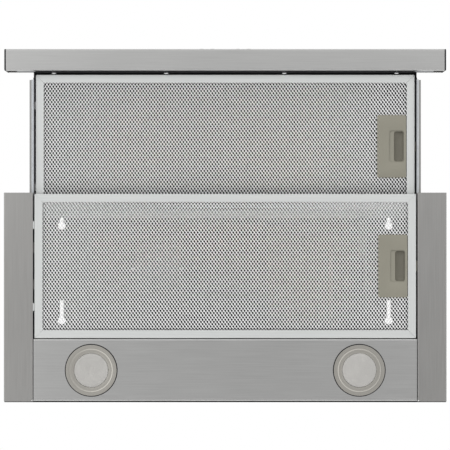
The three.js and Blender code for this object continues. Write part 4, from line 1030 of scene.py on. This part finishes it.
class HOOD_OT_collar(Operator):
    """Lofts the duct collar from its square foot to its round spigot, and dresses the flaps"""

    bl_idname = "hood.collar"
    bl_label = "Duct collar"

    def execute(self, context):
        # Half the width, the corner's radius and the height; a circle is all corner.
        rings = [
            (76, 4, 150.3), (76, 4, 151.5), (75.6, 4, 151.8), (68.6, 5, 151.8), (68, 5, 152.4),
            (68, 5, 159.0), (67.6, 5, 159.7), (66.8, 5, 160.0), (61.6, 61.6, 160.0),
            (60.4, 60.4, 160.3), (60, 60, 161.2), (60, 60, 191.4), (59.6, 59.6, 191.9),
            (58.6, 58.6, 192.0), (58, 58, 191.6), (58, 58, 162.0), (58, 58, 158.0),
            (66, 4, 158.0), (66, 4, 150.3),
        ]
        outlines = [
            rounded((0, COLLAR_Y), 2 * half, 2 * half, corner, 17) for half, corner, _ in rings
        ]
        collar = stacked("collar", outlines, [height for *_, height in rings], closed=True)
        seat_of_flaps = [(55, 164.1), (58.2, 164.1), (58.2, 165.5), (55, 165.5)]
        ledge = turned("ledge", seat_of_flaps, (0, COLLAR_Y, 0), closed=True)
        moulding = joined("duct_collar_moulding", [collar, ledge])
        pin_holes = [bore((side * 60, COLLAR_Y, 168), 2.3, 5, "X", 24) for side, _ in SIDES]
        moulding = drilled(moulding, pin_holes)
        seat(moulding, "root", "black_abs", "moulded_abs_black", "outlet_collar")
        dress("moulded_abs_black", "front_outlet_flap", "rear_outlet_flap")
        dress("bright_nickel_steel", "flap_pin")
        return {"FINISHED"}


class HOOD_OT_fan(Operator):
    """Dresses the fan, its motor and the guard"""

    bl_idname = "hood.fan"
    bl_label = "Fan"

    def execute(self, context):
        dress("moulded_abs_black", "fan_scroll", "scroll_cover")
        dress("moulded_abs_grey", "impeller")
        dress("black_powder_coat", "inlet_guard", "motor_bracket")
        dress("laminated_motor_steel", "motor_cap_inner", "motor_cap_outer")
        dress("laminated_motor_steel", "motor_stator", "motor_rotor")
        dress("bright_nickel_steel", "motor_shaft")
        return {"FINISHED"}


class HOOD_OT_electrics(Operator):
    """Dresses the capacitor, the control box and its lid"""

    bl_idname = "hood.electrics"
    bl_label = "Electrics"

    def execute(self, context):
        dress("moulded_pbt_white", "capacitor")
        dress("moulded_abs_black", "control_box", "control_box_lid")
        return {"FINISHED"}


# ---------------- the studio

def seen_from(tree):
    """One where the camera looks, and one where a reflection or a view through glass does."""
    path = add(tree, "LightPath").outputs
    sockets = {0: path["Is Glossy Ray"], 1: path["Is Transmission Ray"]}
    return path["Is Camera Ray"], add(tree, "Math", sockets, operation="MAXIMUM")


def glowing_floor(below, around, far_off):
    """White to the camera, lit by the lamps to all else, and clear to a camera beneath it.

    In reflections it glows as a lit studio floor does: as strongly as the first value straight
    below the hood, rising to the second from half a metre out to two and a half, and sinking
    to the third from three metres out to six.
    """
    material = bpy.data.materials.new("pale_studio_floor")
    tree = bare_tree(material)
    camera, mirrored = seen_from(tree)
    place = add(tree, "TexCoord").outputs["Object"]
    away = add(tree, "VectorMath", {0: place, 1: GLOW_MIDDLE}, operation="DISTANCE")
    rising, sinking = (
        add(
            tree, "MapRange",
            {"Value": away, "From Min": start, "From Max": end, "To Min": first, "To Max": last},
            interpolation_type="SMOOTHSTEP",
        )
        for start, end, first, last in ((0.5, 2.5, below, around), (3.0, 6.0, around, far_off))
    )
    lit = add(tree, "Math", {0: rising, 1: sinking}, operation="MINIMUM")
    lit = add(tree, "Math", {0: lit, 1: mirrored}, operation="MULTIPLY")
    strength = add(tree, "Math", {0: lit, 1: camera}, operation="MAXIMUM")
    share = add(tree, "Math", {0: mirrored, 1: camera}, operation="MAXIMUM")
    paint = add(tree, "BsdfDiffuse", {"Color": (0.86, 0.86, 0.86, 1)})
    glow = add(tree, "Emission", {"Color": (1, 1, 1, 1), "Strength": strength})
    mixed = add(tree, "MixShader", {"Fac": share, 1: paint, 2: glow})
    from_above = add(tree, "NewGeometry").outputs["Backfacing"]
    clear = add(tree, "BsdfTransparent")
    sided = add(tree, "MixShader", {"Fac": from_above, 1: clear, 2: mixed})
    add(tree, "OutputMaterial", {"Surface": sided})
    return material


def soft_lamp(name, place, size, power):
    """A square soft box that faces the hood and stays out of the picture."""
    light = bpy.data.lights.new(name, "AREA")
    light.energy, light.size = power, size
    lamp = placed(name, light)
    lamp.location = place
    towards = Vector(HOOD_MIDDLE) - lamp.location
    lamp.rotation_euler = towards.to_track_quat("-Z", "Y").to_euler()
    lamp.visible_camera = False
    lamp.visible_glossy = False


class HOOD_OT_stage(Operator):
    """Sets the camera below the hood, the floor, the soft lamps and the white surroundings"""

    bl_idname = "hood.stage"
    bl_label = "Stage"

    def execute(self, context):
        scene = context.scene
        lens = bpy.data.cameras.new("camera_below")
        lens.sensor_width = 36
        lens.lens = 36 * CAMERA_DISTANCE / VIEW_WIDTH
        lens.clip_end = 30
        camera = placed("camera_below", lens)
        camera.location = (-0.0003, -0.2277, UNDERSIDE * MM - CAMERA_DISTANCE)
        camera.rotation_euler = (math.pi, 0, 0)
        scene.camera = camera

        square = FLOOR_HALF / MM * np.array([[-1, -1], [1, -1], [1, 1], [-1, 1]])
        corners = laid(square[:, 0], square[:, 1], FLOOR_Z / MM, "Z")
        floor = surface("studio_floor", corners, [[[0, 1, 2, 3]]])
        floor.data.materials.append(glowing_floor(*FLOOR_GLOW))

        scene.world = bpy.data.worlds.new("white_studio")
        tree = bare_tree(scene.world)
        dim = add(tree, "Background", {"Color": (1, 1, 1, 1), "Strength": WORLD_LIGHT})
        full = add(tree, "Background", {"Color": (1, 1, 1, 1), "Strength": 1.0})
        camera_ray, mirrored = seen_from(tree)
        share = add(tree, "Math", {0: camera_ray, 1: mirrored}, operation="MAXIMUM")
        mixed = add(tree, "MixShader", {"Fac": share, 1: dim, 2: full})
        add(tree, "OutputWorld", {"Surface": mixed})

        soft_lamp("soft_box_left", (-1.5, -1.4, -2.0), 1.5, 26)
        soft_lamp("soft_box_right", (1.6, -0.4, -1.7), 1.5, 12)
        soft_lamp("soft_box_above", (-1.2, -1.6, 2.4), 1.8, 32)
        scene.view_settings.view_transform = "Standard"
        return {"FINISHED"}


class HOOD_PT_panel(Panel):
    """Lists the hood's sizes, colours and pieces"""

    bl_idname = "HOOD_PT_panel"
    bl_label = "Pull-out hood"
    bl_space_type = "VIEW_3D"
    bl_region_type = "UI"
    bl_category = "Hood"

    def draw(self, context):
        for group in (getattr(context.scene, name) for name in GROUPS):
            column = self.layout.box()
            for name in group.bl_rna.properties.keys():
                if name not in ("rna_type", "name"):
                    column.prop(group, name)
        for operator in PIECES:
            self.layout.operator(operator.bl_idname)


PIECES = (
    HOOD_OT_wings, HOOD_OT_lamp_panel, HOOD_OT_lamps, HOOD_OT_front_panel, HOOD_OT_buttons,
    HOOD_OT_screws, HOOD_OT_drawer, HOOD_OT_ball_cages, HOOD_OT_filter_frames,
    HOOD_OT_filter_meshes, HOOD_OT_latches, HOOD_OT_tray, HOOD_OT_rear_shadow_strip, HOOD_OT_housing,
    HOOD_OT_collar, HOOD_OT_fan, HOOD_OT_electrics, HOOD_OT_stage,
)
GROUPS = {
    "hood_sheet": HoodSheetSizes, "hood_filter": HoodFilterSizes, "hood_colours": HoodColours
}
CLASSES = (*GROUPS.values(), *PIECES, HOOD_PT_panel)


def register():
    for group in CLASSES:
        bpy.utils.register_class(group)
    for name, group in GROUPS.items():
        setattr(bpy.types.Scene, name, PointerProperty(type=group))


def unregister():
    for name in GROUPS:
        delattr(bpy.types.Scene, name)
    for group in reversed(CLASSES):
        bpy.utils.unregister_class(group)


def main():
    """Builds every piece in order."""
    register()
    for operator in PIECES:
        family, piece = operator.bl_idname.split(".")
        getattr(getattr(bpy.ops, family), piece)()


if __name__ == "__main__":
    main()
